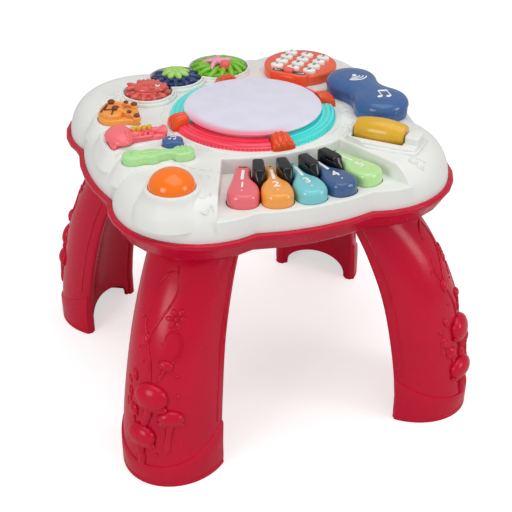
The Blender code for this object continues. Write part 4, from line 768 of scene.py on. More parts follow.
# Place, turn in degrees, half sizes, outline and place of the stem; the last two are shares of the half sizes
BUTTONS = {
    "trumpet_button": ((-0.1115, -0.0115), -3, (0.0265, 0.0195), mirrored((
        (-1.0, 0.92), (-0.93, 1.0), (-0.74, 0.72), (-0.52, 0.52), (-0.2, 0.42), (0.3, 0.42), (0.52, 0.34),
        (0.62, 0.42), (0.84, 0.44), (1.0, 0.16))), (-0.55, 0.0)),
    "toy_drum_button": ((-0.1155, 0.037), -12, (0.019, 0.021), (
        (-1.0, 0.1), (-0.86, -0.64), (-0.44, -0.9), (0.1, -0.92), (0.42, -0.84), (0.74, -1.0), (1.0, -0.88),
        (0.92, -0.62), (0.7, -0.46), (0.72, -0.1), (1.0, 0.2), (0.94, 0.5), (0.62, 0.5),
        (0.3, 0.86), (-0.16, 1.0), (-0.66, 0.66)), (-0.2, -0.1)),
    "guitar_button": ((-0.1055, -0.0575), -9, (0.031, 0.0095), mirrored((
        (-0.95, -0.62), (-0.78, -1.0), (-0.56, -0.94), (-0.4, -0.7), (-0.2, -0.94), (-0.02, -0.7),
        (0.06, -0.36), (0.38, -0.36), (0.44, -0.8), (0.66, -0.92), (0.9, -0.74)),
        ((-1.0, 0.0),), ((1.0, 0.0),)), (-0.5, 0.0)),
    "note_button": ((-0.0862, -0.0345), -20, (0.0095, 0.008), mirrored((
        (-0.84, -0.62), (-0.36, -0.96), (0.36, -0.96), (0.84, -0.62)), ((-1.0, 0.0),), ((1.0, 0.0),)),
        (0.0, 0.0)),
}
PLATFORM_LIFT = 0.0012
POCKET_DROP = 0.0042
PLATFORM_MARGIN = 0.0046
BODY_MARGIN = -0.0002
BELL_ROUNDS = 9
OTHER_ROUNDS = 3


def on_button(name, points):
    """Places on a picture button from distances along and across it."""
    place, degrees = BUTTONS[name][:2]
    return turned(points, math.radians(degrees), place)


def button_outline(name, margin=0.0, steps=3):
    (half_x, half_y), shares = BUTTONS[name][2:4]
    flat = relaxed(smooth_line([(x * half_x, y * half_y) for x, y in shares], steps),
                   BELL_ROUNDS if name == "trumpet_button" else OTHER_ROUNDS)
    return on_button(name, offset(flat, margin))


def stem_place(name):
    _, _, (half_x, half_y), _, share = BUTTONS[name]
    return on_button(name, [(half_x * share[0], half_y * share[1])])[0]


def handset_outline(margin=0.0):
    """Two round lobes joined by a waist."""
    turn, steps, waist_half = math.radians(118), 22, 0.0175
    back, front = Vector((0.1055, 0.017)), Vector((0.111, -0.035))
    along = (front - back).normalized()
    side = Vector((along.y, -along.x))
    outline = []
    for centre, radius, facing, other, other_radius in (
            (front, 0.025, 1, back, 0.024), (back, 0.024, -1, front, 0.025)):
        for k in range(steps + 1):
            a = turn * (1 - 2 * k / steps)
            outline.append(centre + (side * math.sin(a) + along * math.cos(a)) * radius * facing)
        start = centre + along * math.cos(turn) * radius * facing
        stop = other - along * math.cos(turn) * other_radius * facing
        for k in range(1, 7):
            share = k / 7
            line = math.sin(turn) * (radius + (other_radius - radius) * share)
            dip = (line - waist_half) * math.sin(math.pi * share)
            outline.append(start + (stop - start) * share - side * facing * (line - dip))
    points = [(p.x, p.y) for p in outline]
    return offset(points, margin)


KEYPAD_REACH = 0.1118
KEYPAD_TURN = math.radians(-45)
ROLLER_REACH = 0.1223
DOME_REACH = 0.156
BEZEL_TOP = 0.264
ROLLER_AXIS = 0.0078
ROLLER_HALF = 0.0222
TRUMPET_HIGH = 0.0124
TOOTH = 0.0022
TOOTH_GAP = 0.00035
GREEN_LEAN = 0.3
CLIP_INSIDE = 0.0634
CORNER_MOTIF = (0.0985, -0.1305)


def on_keypad(points):
    return turned(points, KEYPAD_TURN, polar(KEYPAD_REACH, 45))


def on_roller(points):
    return turned(points, math.radians(-45), polar(ROLLER_REACH, -45))


def number_places():
    return on_keypad([(column * 0.0168, (1.5 - row) * 0.0119 - 0.0003)
                      for row in range(4) for column in (-1, 0, 1)])


# Legs


# Share of the height, reach, half width and depth of a leg
LEG_KNOTS = ((0.0, 0.1671, 0.0455, 0.051), (0.14, 0.167, 0.0455, 0.051), (0.36, 0.1606, 0.0444, 0.05),
             (0.6, 0.1482, 0.0421, 0.0497), (0.8, 0.1306, 0.0408, 0.0462), (0.92, 0.1163, 0.0404, 0.0405),
             (1.0, 0.105, 0.0403, 0.036))
LEG_WALL = 0.0026
CUFF_OUT = 0.0018
OUTER_STEPS = 40


def leg_size(z):
    """Reach, half width and depth of a leg at a height."""
    share = max(0.0, min(1.0, z / props("housing").tray_top))
    last = len(LEG_KNOTS) - 1
    k = max(n for n in range(last) if LEG_KNOTS[n][0] <= share)
    low, high = LEG_KNOTS[k], LEG_KNOTS[k + 1]
    before, after = LEG_KNOTS[max(k - 1, 0)], LEG_KNOTS[min(k + 2, last)]
    width = high[0] - low[0]
    t = (share - low[0]) / width
    made = []
    for n in (1, 2, 3):
        slope_low = (high[n] - before[n]) / (high[0] - before[0])
        slope_high = (after[n] - low[n]) / (after[0] - low[0])
        made.append((2 * t ** 3 - 3 * t ** 2 + 1) * low[n]
                    + (t ** 3 - 2 * t ** 2 + t) * width * slope_low
                    + (3 * t ** 2 - 2 * t ** 3) * high[n] + (t ** 3 - t ** 2) * width * slope_high)
    return made


def leg_point(index, z, out=0.0):
    """A point of the leg's skin: round outside, then the toe, the dished inner face and the other toe."""
    reach, half, depth = leg_size(z)
    toe_width, toe_round, dish = 0.0088, 0.003, 0.009
    if index <= OUTER_STEPS:
        a = -QUARTER + math.pi * index / OUTER_STEPS
        return reach + (depth + out) * math.cos(a), (half + out) * math.sin(a), z
    n = index - OUTER_STEPS
    toe = half - toe_width
    if n <= 4:
        a = QUARTER * n / 4
        return reach - toe_round * math.sin(a), half - toe_round * (1 - math.cos(a)), z
    if n <= 8:
        a = QUARTER * (n - 4) / 4
        return reach - toe_round * math.cos(a), toe + toe_round * (1 - math.sin(a)), z
    if n <= 20:
        share = 1 - 2 * (n - 8) / 12
        return reach + dish * (1 - share ** 2), toe * share, z
    x, y, _ = leg_point(OUTER_STEPS + 28 - n, z)
    return x, -y, z


def cuff_height(index):
    """Wavy upper edge of the cuff: high at both toes and low in the middle."""
    share = abs(2 * index / OUTER_STEPS - 1) if index <= OUTER_STEPS else 1.0
    return 0.0205 + (0.045 - 0.0205) * share ** 2


def leg_ring(height, out=0.0):
    """One section; height gives each point's height from its number."""
    return [leg_point(k, height(k), out) for k in range(OUTER_STEPS + 28)]


def leg_rings():
    step, flat_from = 0.0016, 0.052
    rings = [leg_ring(lambda k, z=z: z, CUFF_OUT - inset)
             for z, inset in ((0.0, 0.0), (0.003, 0.0), (0.0036, 0.0007), (0.0044, 0.0007), (0.005, 0.0))]
    rings += [leg_ring(lambda k, s=s: 0.005 + (cuff_height(k) - 0.005) * s, CUFF_OUT) for s in (0.5, 0.97)]
    rings += [leg_ring(lambda k, s=s: cuff_height(k) + step * s, CUFF_OUT * out)
              for s, out in ((0.25, 0.72), (0.45, 0.1))]
    rings += [leg_ring(lambda k, s=s: cuff_height(k) + step + (flat_from - cuff_height(k)) * s)
              for s in (0.0, 0.35, 0.7, 1.0)]
    top = props("housing").tray_top
    return rings + [leg_ring(lambda k, s=s: flat_from + step + (top - flat_from - step) * s / 22)
                    for s in range(1, 23)]


def leg_arch():
    outline = [(0.0345 * math.cos(math.pi * k / 28), 0.02 * max(0.0, math.sin(math.pi * k / 28)) ** 0.7)
               for k in range(29)] + [(-0.0345, -0.004), (0.0345, -0.004)]
    return skin([[(x, y, z) for y, z in outline] for x in (0.149, 0.183)])


# Relief on the legs, by distance across and height: place, half width, cap, stem and tilt of each mushroom,
# radius and points of each vine, place, half sizes and tilt of each leaf, and place and radius of each dot
MUSHROOMS = ((0.0005, 0.088, 0.016, 0.013, 0.015, -0.16), (0.018, 0.07, 0.0122, 0.0078, 0.024, -0.05),
             (-0.0075, 0.05, 0.0152, 0.011, 0.018, 0.04), (-0.0175, 0.07, 0.0062, 0.006, 0.009, 0.12),
             (-0.0235, 0.083, 0.004, 0.005, 0.008, 0.2), (0.0108, 0.1175, 0.007, 0.0046, 0.01, -0.3))
VINES = ((0.0014, (-0.0015, 0.101), (-0.0025, 0.115), (-0.006, 0.126), (-0.0085, 0.137)),
         (0.0012, (-0.0085, 0.137), (0.001, 0.154), (0.008, 0.168), (0.0085, 0.18), (0.004, 0.1905)),
         (0.0011, (0.0055, 0.186), (-0.001, 0.185), (-0.007, 0.179), (-0.008, 0.1755)),
         (0.001, (-0.0085, 0.137), (-0.013, 0.146), (-0.011, 0.16)),
         (0.0009, (-0.012, 0.148), (-0.0165, 0.15), (-0.019, 0.1475)),
         (0.0011, (0.015, 0.119), (0.02, 0.127), (0.02, 0.139), (0.014, 0.145), (0.0085, 0.142),
          (0.0075, 0.137)),
         (0.0006, (-0.023, 0.08), (-0.027, 0.074), (-0.025, 0.069), (-0.021, 0.072)))
LEAVES = ((-0.01, 0.1345, 0.004, 0.0062, 0.0032, 0.1), (-0.018, 0.101, 0.0032, 0.0056, 0.0026, 0.5),
          (-0.0245, 0.093, 0.0018, 0.004, 0.0014, 0.9))
DOTS = ((0.016, 0.1475, 0.0011), (-0.011, 0.117, 0.0014), (0.0205, 0.108, 0.0014), (0.022, 0.09, 0.0015),
        (0.0075, 0.033, 0.0016), (0.023, 0.048, 0.0012), (-0.0165, 0.126, 0.0009), (0.005, 0.135, 0.0009))


class LegRelief:
    """Raised mushrooms, a vine and small flowers on the outside of a leg."""

    def __init__(self, skin_form):
        self.tree = BVHTree.FromBMesh(skin_form)
        self.forms = []

    def spot(self, y, z):
        place, normal, _, _ = self.tree.ray_cast(Vector((0.3, y, z)), Vector((-1.0, 0.0, 0.0)))
        return place, normal

    def bump(self, y, z, half_y, half_z, height, tilt=0.0):
        place, normal = self.spot(y, z)
        up = (Vector((0.0, 0.0, 1.0)) - normal * normal.z).normalized()
        side = up.cross(normal)
        turn = Matrix((side, up, normal)).transposed().to_4x4() @ about_z(tilt)
        self.forms.append(ball((half_y, half_z, height), place, turn))

    def line(self, points, radius):
        path = []
        for y, z in smooth_line(points, 5, False):
            place, normal = self.spot(y, z)
            path.append(place + normal * radius * 0.1)
        self.forms.append(tube(path, radius, 6,
                               lambda t: 0.55 + 0.45 * math.sin(math.pi * min(1.0, t + 0.25))))

    def mushroom(self, y, z, half, cap, stem, tilt):
        """A domed cap with a thick rim on a round stem."""
        foot = z - cap - stem
        lean = math.sin(tilt) * (cap + stem)
        self.line([(y, z), (y + lean * 0.5, z - cap - stem * 0.3), (y + lean, foot)], half * 0.3)
        self.bump(y + lean, foot + stem * 0.3, half * 0.27, stem * 0.45, half * 0.24, tilt)
        self.bump(y, z - cap * 0.62, half, cap * 0.4, half * 0.34, tilt)
        self.bump(y, z, half * 0.97, cap, half * 0.5, tilt)

    def flower(self, y, z, size):
        for k in range(6):
            a = TURN * k / 6
            self.bump(y + size * 0.62 * math.cos(a), z + size * 0.62 * math.sin(a), size * 0.38, size * 0.27,
                      0.0016, a)
        self.bump(y, z, size * 0.26, size * 0.26, 0.002)

    def build(self):
        for mushroom in MUSHROOMS:
            self.mushroom(*mushroom)
        for radius, *points in VINES:
            self.line(points, radius)
        for leaf in LEAVES:
            self.bump(*leaf)
        self.flower(0.013, 0.1545, 0.0088)
        for y, z, r in DOTS:
            self.bump(y, z, r * 1.25, r * 1.25, r)
        return gather(*self.forms)


def leg_seams():
    """A fine raised lip along both edges of the leg's round outside."""
    forms = []
    top = props("housing").tray_top
    for index in (2, OUTER_STEPS - 2):
        path = [leg_point(index, 0.0495 + (top - 0.052) * k / 28) for k in range(29)]
        forms.append(tube(path, 0.0007, 6))
    return gather(*forms)


# Operators


class Build:
    """What all the operators share"""

    bl_options = {"REGISTER", "UNDO"}

    def execute(self, context):
        self.build(context)
        return {"FINISHED"}


class ACTIVITY_OT_legs(Build, bpy.types.Operator):
    """Four hollow legs with their relief"""

    bl_idname = "activity.legs"
    bl_label = "Legs"

    def build(self, context):
        crimson = tray_plastic()
        solid = skin(leg_rings())
        relief = LegRelief(solid).build()
        seams = leg_seams()
        foot = [f for f in solid.faces if f.calc_center_median().z < TINY]
        bmesh.ops.delete(solid, geom=foot, context="FACES_ONLY")
        bmesh.ops.solidify(solid, geom=solid.faces[:], thickness=LEG_WALL)
        bmesh.ops.recalc_face_normals(solid, faces=solid.faces)
        leg = floored(carved(solid, (), [leg_arch()]), 0.0)
        for corner, degrees in CORNERS.items():
            turn = about_z(math.radians(degrees))
            name = "leg_" + corner
            for kind, form, nodes, sharp in (("_finished", leg, [name], 38), ("_relief", relief, (), 60),
                                             ("_seam", seams, (), 60)):
                piece(name + kind, rotated(form.copy(), turn), crimson, "housing", nodes, sharp)
        for spare in (leg, relief, seams):
            spare.free()


class ACTIVITY_OT_tray(Build, bpy.types.Operator):
    """Crimson tray, battery door, screws and what is inside"""

    bl_idname = "activity.tray"
    bl_label = "Tray"

    def build(self, context):
        crimson = tray_plastic()
        metal = bright_metal("screw_metal", (0.55, 0.55, 0.56))
        jacket = bright_metal("cell_jacket", (0.3, 0.3, 0.32), 0.4)
        paper = moulded("speaker_paper", (0.02, 0.02, 0.02), 0.75, 0.8)
        lacquer = moulded("board_lacquer", (0.02, 0.2, 0.06), 0.35, 0.6)
        for slot, material, names in (
                ("crimson", crimson, ("lower_tray", "battery_door")),
                ("metal", metal, ("battery_door_screw", "housing_screw_left", "housing_screw_right",
                                  "housing_screw_back", "roller_axle")),
                ("cell_grey", jacket, ("battery_1", "battery_2", "battery_3")),
                ("black", paper, ("speaker",)), ("board_green", lacquer, ("circuit_board",))):
            for name in names:
                fair_copy(name, material, "housing")


class ACTIVITY_OT_cover(Build, bpy.types.Operator):
    """Cream cover with its recess, platforms, bezel, gear cups and roller frame"""

    bl_idname = "activity.cover"
    bl_label = "Cover"

    def build(self, context):
        size, parts = props("housing"), props("parts")
        deck, shelf, rim, wall = size.deck, size.shelf, size.rim, size.wall
        rings = [raised(lobed_outline(), rim - 0.0038)]
        for k in range(13):
            share = math.sin(QUARTER * k / 12)
            inset = size.roll * (1 - math.sqrt(max(0.0, 1 - share ** 2)))
            rings.append(raised(lobed_outline(-inset), rim + (deck - rim) * share))
        body = skin(rings)
        far = deck + 0.03
        joins = [self.kept_front(loose("front", plate(lobed_outline(-GAP), rim, shelf, 0.0012)))]
        cuts = []
        for n, name in enumerate(BUTTONS):
            top = deck + PLATFORM_LIFT + 0.00004 * n
            skirt = [raised(button_outline(name, PLATFORM_MARGIN + wide), deck - fall)
                     for wide, fall in ((0.008, 0.014), (0.0044, 0.007), (0.002, 0.003), (0.0006, 0.0006))]
            joins.append(skin(skirt + round_rim(button_outline(name, PLATFORM_MARGIN), top, 0.0009, 3)))
            cuts.append(prism(button_outline(name, RUNNING_GAP), deck + PLATFORM_LIFT - POCKET_DROP, far))
            cuts.append(prism(circle(0.0041, stem_place(name), 24), rim, far))
        dome = polar(DOME_REACH, -135)
        # The bezel's flare: how far beyond the dome and how far below its top
        collar = [(0.0, BEZEL_TOP), *[(parts.dome + out, BEZEL_TOP - fall) for out, fall in (
            (0.0022, 0.0), (0.0034, 0.0005), (0.004, 0.0018), (0.0044, 0.004), (0.0054, 0.0065),
            (0.007, 0.009), (0.01, 0.013), (0.0128, 0.018), (0.0146, 0.026))], (0.0, BEZEL_TOP - 0.026)]
        joins.append(turned_form(collar, 96, (*dome, 0.0)))
        cuts.append(prism(circle(parts.dome + RUNNING_GAP, dome, 72), rim - 0.005, far))
        for place, count, _ in gear_layout().values():
            radius = parts.tooth * count + TOOTH - TOOTH_GAP + 0.0008
            flare = 0.0022 if count == 14 else 0.0036
            joins.append(plate(circle(radius + flare, place, 80), shelf, deck + 0.0036, 0.0022, 4))
            joins.append(plate(circle(radius + 0.0014, place, 80), shelf, deck + 0.0055, 0.0007, 3))
            cuts.append(prism(circle(radius, place, 80), deck, far))
        reach, well = ROLLER_HALF, 0.0012
        frame_plan = soften([(-reach - 0.0055, -0.02), (reach + 0.014, -0.0174), (reach + 0.014, 0.0174),
                             (-reach - 0.0055, 0.02)], 0.006, 8)
        joins.append(plate(on_roller(offset(frame_plan, 0.0022)), shelf, deck + 0.0022, 0.0016, 3))
        joins.append(plate(on_roller(frame_plan), shelf, deck + 0.0048, 0.0022, 4))
        for side, end in ((-1, 0.0055), (1, 0.014)):
            long = (end - well) / 2
            middle = (side * (reach + well + long), 0.0)
            joins.append(plate(on_roller(bar(long, 0.009, min(long * 0.8, 0.0035), middle)), shelf,
                               deck + 0.0115, 0.0018, 4))
        well_low = deck + ROLLER_AXIS - parts.roller - well
        well_plan = bar(reach + well, parts.roller + well, 0.0015)
        cuts.append(prism(on_roller(well_plan), well_low, far))

        lip = 0.002
        recess = [raised(recess_outline(), shelf), raised(recess_outline(), deck - lip)]
        for k in range(1, 5):
            a = QUARTER * k / 4
            recess.append(raised(recess_outline(lip * (1 - math.cos(a))), deck - lip + lip * math.sin(a)))
        recess.append(raised(recess_outline(lip), far))
        cuts.append(skin(recess))
        low = rim - 0.006
        for k in range(5):
            cuts.append(prism(key_outline(k, 0.0007), low, far))
        for k in range(4):
            cuts.append(prism(offset(black_outline(key_angle(k + 0.5), 0.6), 0.001), low, far))
        cuts.append(prism(circle(0.0553, steps=96), low, far))
        cuts.append(skin([raised(lobed_outline(-wall - inset), height) for inset, height in (
            (0.0, rim - 0.008), (0.0, rim + 0.004), (0.006, shelf - wall))]))
        piece("top_cover_finished", carved(body, joins, cuts), cover_plastic(), "housing", ["top_cover"],
              34)

    def kept_front(self, front):
        """The part of the front wall that lies under the keyboard."""
        bounds = loose("bounds", prism(recess_outline(GAP), 0.2, 0.3))
        step = front.modifiers.new("Keep", "BOOLEAN")
        step.operation = "INTERSECT"
        step.solver = "EXACT"
        step.object = bounds
        kept = evaluated(front)
        for tool in (front, bounds):
            bpy.data.objects.remove(tool)
        return kept


class ACTIVITY_OT_deck(Build, bpy.types.Operator):
    """Moulded lines and small motifs on the deck"""

    bl_idname = "activity.deck"
    bl_label = "Deck relief"

    def on_cover(self, x, y, lift=0.0):
        """A point on the finished cover, or above it."""
        place = self.cover.ray_cast(Vector((x, y, 1.0)), Vector((0.0, 0.0, -1.0)))[0]
        return Vector((x, y, place.z + lift))

    def ridge(self, x, y, angle, half, width=0.0009, height=0.0012):
        place = self.on_cover(x, y)
        slope = self.on_cover(x + 0.002 * math.cos(angle), y + 0.002 * math.sin(angle)).z - place.z
        lean = about_z(angle) @ Matrix.Rotation(-math.atan2(slope, 0.002), 4, "Y")
        self.forms.append(ball((half, width, height), place, lean, 8))

    def cord(self, points, radius):
        path = [self.on_cover(x, y, radius * 0.2) for x, y in smooth_line(points, 4, False)]
        self.forms.append(tube(path, radius, 6))

    def note(self, x, y, angle, size):
        """A raised note: its head, stem and flag."""
        self.ridge(x, y, angle + 0.4, size * 0.5, size * 0.38, 0.0014)
        line = turned([(0.42, 0.0), (0.42, 0.8), (0.5, 1.5), (0.9, 1.4), (1.2, 1.0)], angle)
        self.cord([(x + size * px, y + size * py) for px, py in line], 0.0009)

    def build(self, context):
        deck = props("housing").deck
        cover = copied(bpy.data.objects["top_cover_finished"].data)
        self.cover = BVHTree.FromBMesh(cover)
        cover.free()
        self.forms = forms = []
        for k in range(34):
            a = math.radians(-52 + 2.25 * k)
            reach = 0.0842 + 0.0016 * math.sin(k * 2.3)
            if -0.105 < reach * math.sin(a) < 0.052 and reach * math.cos(a) < 0.083:
                self.ridge(reach * math.cos(a), reach * math.sin(a), a + 0.22 * math.sin(k * 1.7), 0.005)
        for k in range(22):
            a = math.radians(128 + 4.5 * k)
            reach = 0.0825 + 0.0009 * math.sin(k * 1.9)
            if abs(math.degrees(a) - 180) > 8:
                self.ridge(reach * math.cos(a), reach * math.sin(a), a + QUARTER + 0.1 * math.sin(k), 0.0028,
                           0.0006, 0.0008)
        for k in range(6):
            x, y = -0.1265 + 0.003 * k, 0.064 + 0.0052 * k
            self.cord([(x + 0.008 * s, y + 0.0022 * math.sin(s * 1.3 + k) + 0.0016 * s)
                       for s in range(5 if k % 2 else 4)], 0.0007)
        for k in range(5):
            degrees = -126 - 5 * k
            self.ridge(*polar(0.116, degrees), math.radians(degrees) + QUARTER, 0.004, 0.0006)
        for x, y, angle, half in ((-0.0785, -0.097, 0.2, 0.005), (-0.07, -0.0905, 0.9, 0.004),
                                  (-0.074, -0.101, 0.5, 0.003), (0.079, -0.086, -0.7, 0.006),
                                  (0.084, -0.0925, -0.7, 0.004), (0.044, 0.098, 1.2, 0.004),
                                  (0.05, 0.093, 0.8, 0.005), (0.056, 0.076, 0.5, 0.004)):
            self.ridge(x, y, angle, half)
        slant = math.radians(-34)
        for k in (-1, 0, 1):
            x, y = turned([(k * 0.0052, 0.0)], slant, CORNER_MOTIF)[0]
            self.ridge(x, y, slant + QUARTER, 0.0026, 0.0014)
        for k in (-1, 1):
            x, y = turned([(0.0, k * 0.0038)], slant, CORNER_MOTIF)[0]
            self.ridge(x, y, slant, 0.0085, 0.0007)
        self.note(-0.0915, -0.129, -0.9, 0.0046)
        self.note(-0.0935, -0.14, -0.9, 0.0046)
        band = plate(circle(0.08, steps=96), deck - 0.001, deck + 0.0007, 0.0006, 3)
        forms.append(carved(band, (), [prism(circle(0.0755, steps=96), deck - 0.002, deck + 0.01)]))
        piece("deck_relief", gather(*forms), cover_plastic(), "housing", (), 60)


class ACTIVITY_OT_keys(Build, bpy.types.Operator):
    """Coloured keys with a stripe, a number and a dot, and the black keys"""

    bl_idname = "activity.keys"
    bl_label = "Keys"

    def build(self, context):
        size, shelf = props("keys"), props("housing").shelf
        mark = finish("mark", 0.35)
        for k in range(5):
            body = f"key_{k + 1}"
            angle = key_angle(k)
            plan = key_outline(k)
            form = skin([raised(plan, shelf - 0.0078), raised(plan, size.top - 0.0062)]
                        + round_rim(plan, size.top, 0.0037, 8, drop=0.0062))
            piece(body + "_cap", form, finish(body, 0.17, coat=0.45, gloss=0.4), body, [body])
            shift = -0.002 if k == 0 else 0.002 if k == 4 else 0.0
            x, y = fan([(size.back + 0.0165, shift)], angle)[0]
            low, high = size.top - 0.0004, size.top + 0.0002
            stripe = plate(bar(0.0013, 0.0082, 0.0004, (x, y), angle), low, high, 0.0001, 1)
            x, y = fan([(size.back + 0.044, shift * 0.5)], angle)[0]
            piece(body + "_stripe", gather(stripe, plate(circle(0.0007, (x, y), 12), low, high)), mark, body)
            x, y = fan([(size.back + 0.0345, shift * 0.6)], angle)[0]
            place = placed((x, y, size.top), angle)
            lettering(body + "_number", str(k + 1), 0.0125, 0.0005, place, mark, body)
        blocks = []
        for k in range(4):
            angle = key_angle(k + 0.5)
            rings = [raised(black_outline(angle, nose), z) for z, nose in (
                (shelf - 0.008, 0.5), (shelf + 0.0075, 0.5), (shelf + 0.0118, 0.475),
                (size.black_top - 0.0046, 0.44))]
            blocks.append(skin(rings + round_rim(black_outline(angle, 0.42), size.black_top, 0.0021, 7)))
        piece("black_key_blocks", gather(*blocks), finish("black", 0.2, coat=0.4, grain=0.2), "housing",
              ["black_keys"], 50)


class ACTIVITY_OT_drum(Build, bpy.types.Operator):
    """Drum pad"""

    bl_idname = "activity.drum"
    bl_label = "Drum pad"

    def build(self, context):
        parts = props("parts")
        radius, top = parts.drum, parts.drum_edge
        profile = [(radius * k / 12, top + 0.0022 * (1 - (k / 12) ** 2)) for k in range(12)]
        profile += [(radius - 0.0022 + 0.0022 * math.sin(QUARTER * k / 6),
                     top - 0.0012 + 0.0013 * math.cos(QUARTER * k / 6)) for k in range(7)]
        profile += [(radius - 0.0006, top - 0.0022), (0.0548, top - 0.0024), (0.0548, 0.258), (0.057, 0.258),
                    (0.057, 0.2563), (0.0528, 0.2563), (0.0528, top - 0.0044), (0.0, top - 0.0044)]
        piece("drum_pad_skin", turned_form(profile, 128), drum_skin(), "drum_pad", ["drum_pad"],
              50)


class ACTIVITY_OT_ring(Build, bpy.types.Operator):
    """Ribbed lit ring and its four clips"""

    bl_idname = "activity.ring"
    bl_label = "Lit ring"

    def build(self, context):
        parts = props("parts")
        low = props("housing").deck + GAP
        inner, outer, top = parts.ring_inner, parts.ring_outer, parts.ring_top
        span = math.radians(15.5)
        start = span / 2 + math.radians(0.35)
        shape = smooth_line([(1.0, 0.0), (0.985, 0.45), (0.9, 0.78), (0.7, 0.96), (0.35, 1.0),
                             (0.0, 0.92)], 5, False)
        profile = []
        for n, (r, z) in enumerate(shape):
            rib = 0.00055 * abs(math.sin(math.pi * 5 * n / (len(shape) - 1)))
            profile.append((inner + (outer - inner) * r - (0.0 if r < 0.9 else rib),
                            low + (top - low) * z - (rib if r < 0.9 else 0.0)))
        profile.append((inner, low))
        steps = 96
        light = {"ring_red": lit_plastic("ring_red"), "ring_teal": lit_plastic("ring_teal")}
        for k, (side, slot) in enumerate((("back_right", "ring_red"), ("back_left", "ring_teal"),
                                          ("front_left", "ring_red"), ("front_right", "ring_teal"))):
            bm = spun_form(profile, QUARTER * k + start, QUARTER - 2 * start, steps)
            for vert in bm.verts:
                reach = math.hypot(vert.co.x, vert.co.y)
                turn = math.atan2(vert.co.y, vert.co.x) - QUARTER * k - start
                column = round((turn % TURN) / ((QUARTER - 2 * start) / steps))
                if column % 2 and reach > outer - 0.0018 and vert.co.z < top - 0.0012:
                    vert.co.x *= 1 - 0.0005 / reach
                    vert.co.y *= 1 - 0.0005 / reach
            name = "light_ring_" + side
            piece(name + "_lens", bm, light[slot], "housing", [name], 50)
        high = parts.clip_top
        shape = smooth_line([(1.0, 0.0), (1.0, 0.32), (0.9, 0.66), (0.64, 0.9), (0.3, 1.0),
                             (0.0, 0.97)], 4, False)
        profile = [(CLIP_INSIDE + 0.0156 * r, low + (high - low) * z) for r, z in (*shape, (0.0, 0.0))]
        for k, side in enumerate(("right", "back", "left", "front")):
            bm = spun_form(profile, QUARTER * k - span / 2, span, 28)
            for vert in bm.verts:
                reach = math.hypot(vert.co.x, vert.co.y)
                turn = (math.atan2(vert.co.y, vert.co.x) - QUARTER * k + math.pi) % TURN - math.pi
                share = turn / (span / 2)
                lift = (vert.co.z - low) / (high - low)
                groove = max(0.0, math.cos(math.pi * 3 * share)) * 0.0009 * min(1.0, lift * 2)
                side_drop = 0.0026 * abs(share) ** 3 * lift
                angle = QUARTER * k + turn * (1 - 0.2 * lift)
                reach = max(CLIP_INSIDE, reach - groove * 0.8 - 0.0012 * abs(share) ** 4)
                vert.co = (reach * math.cos(angle), reach * math.sin(angle),
                           vert.co.z - side_drop - groove * (1 if lift > 0.7 else 0.4))
            name = "ring_clip_" + side
            piece(name + "_hood", bm, finish("clip", 0.22, coat=0.4), "housing", [name], 55)


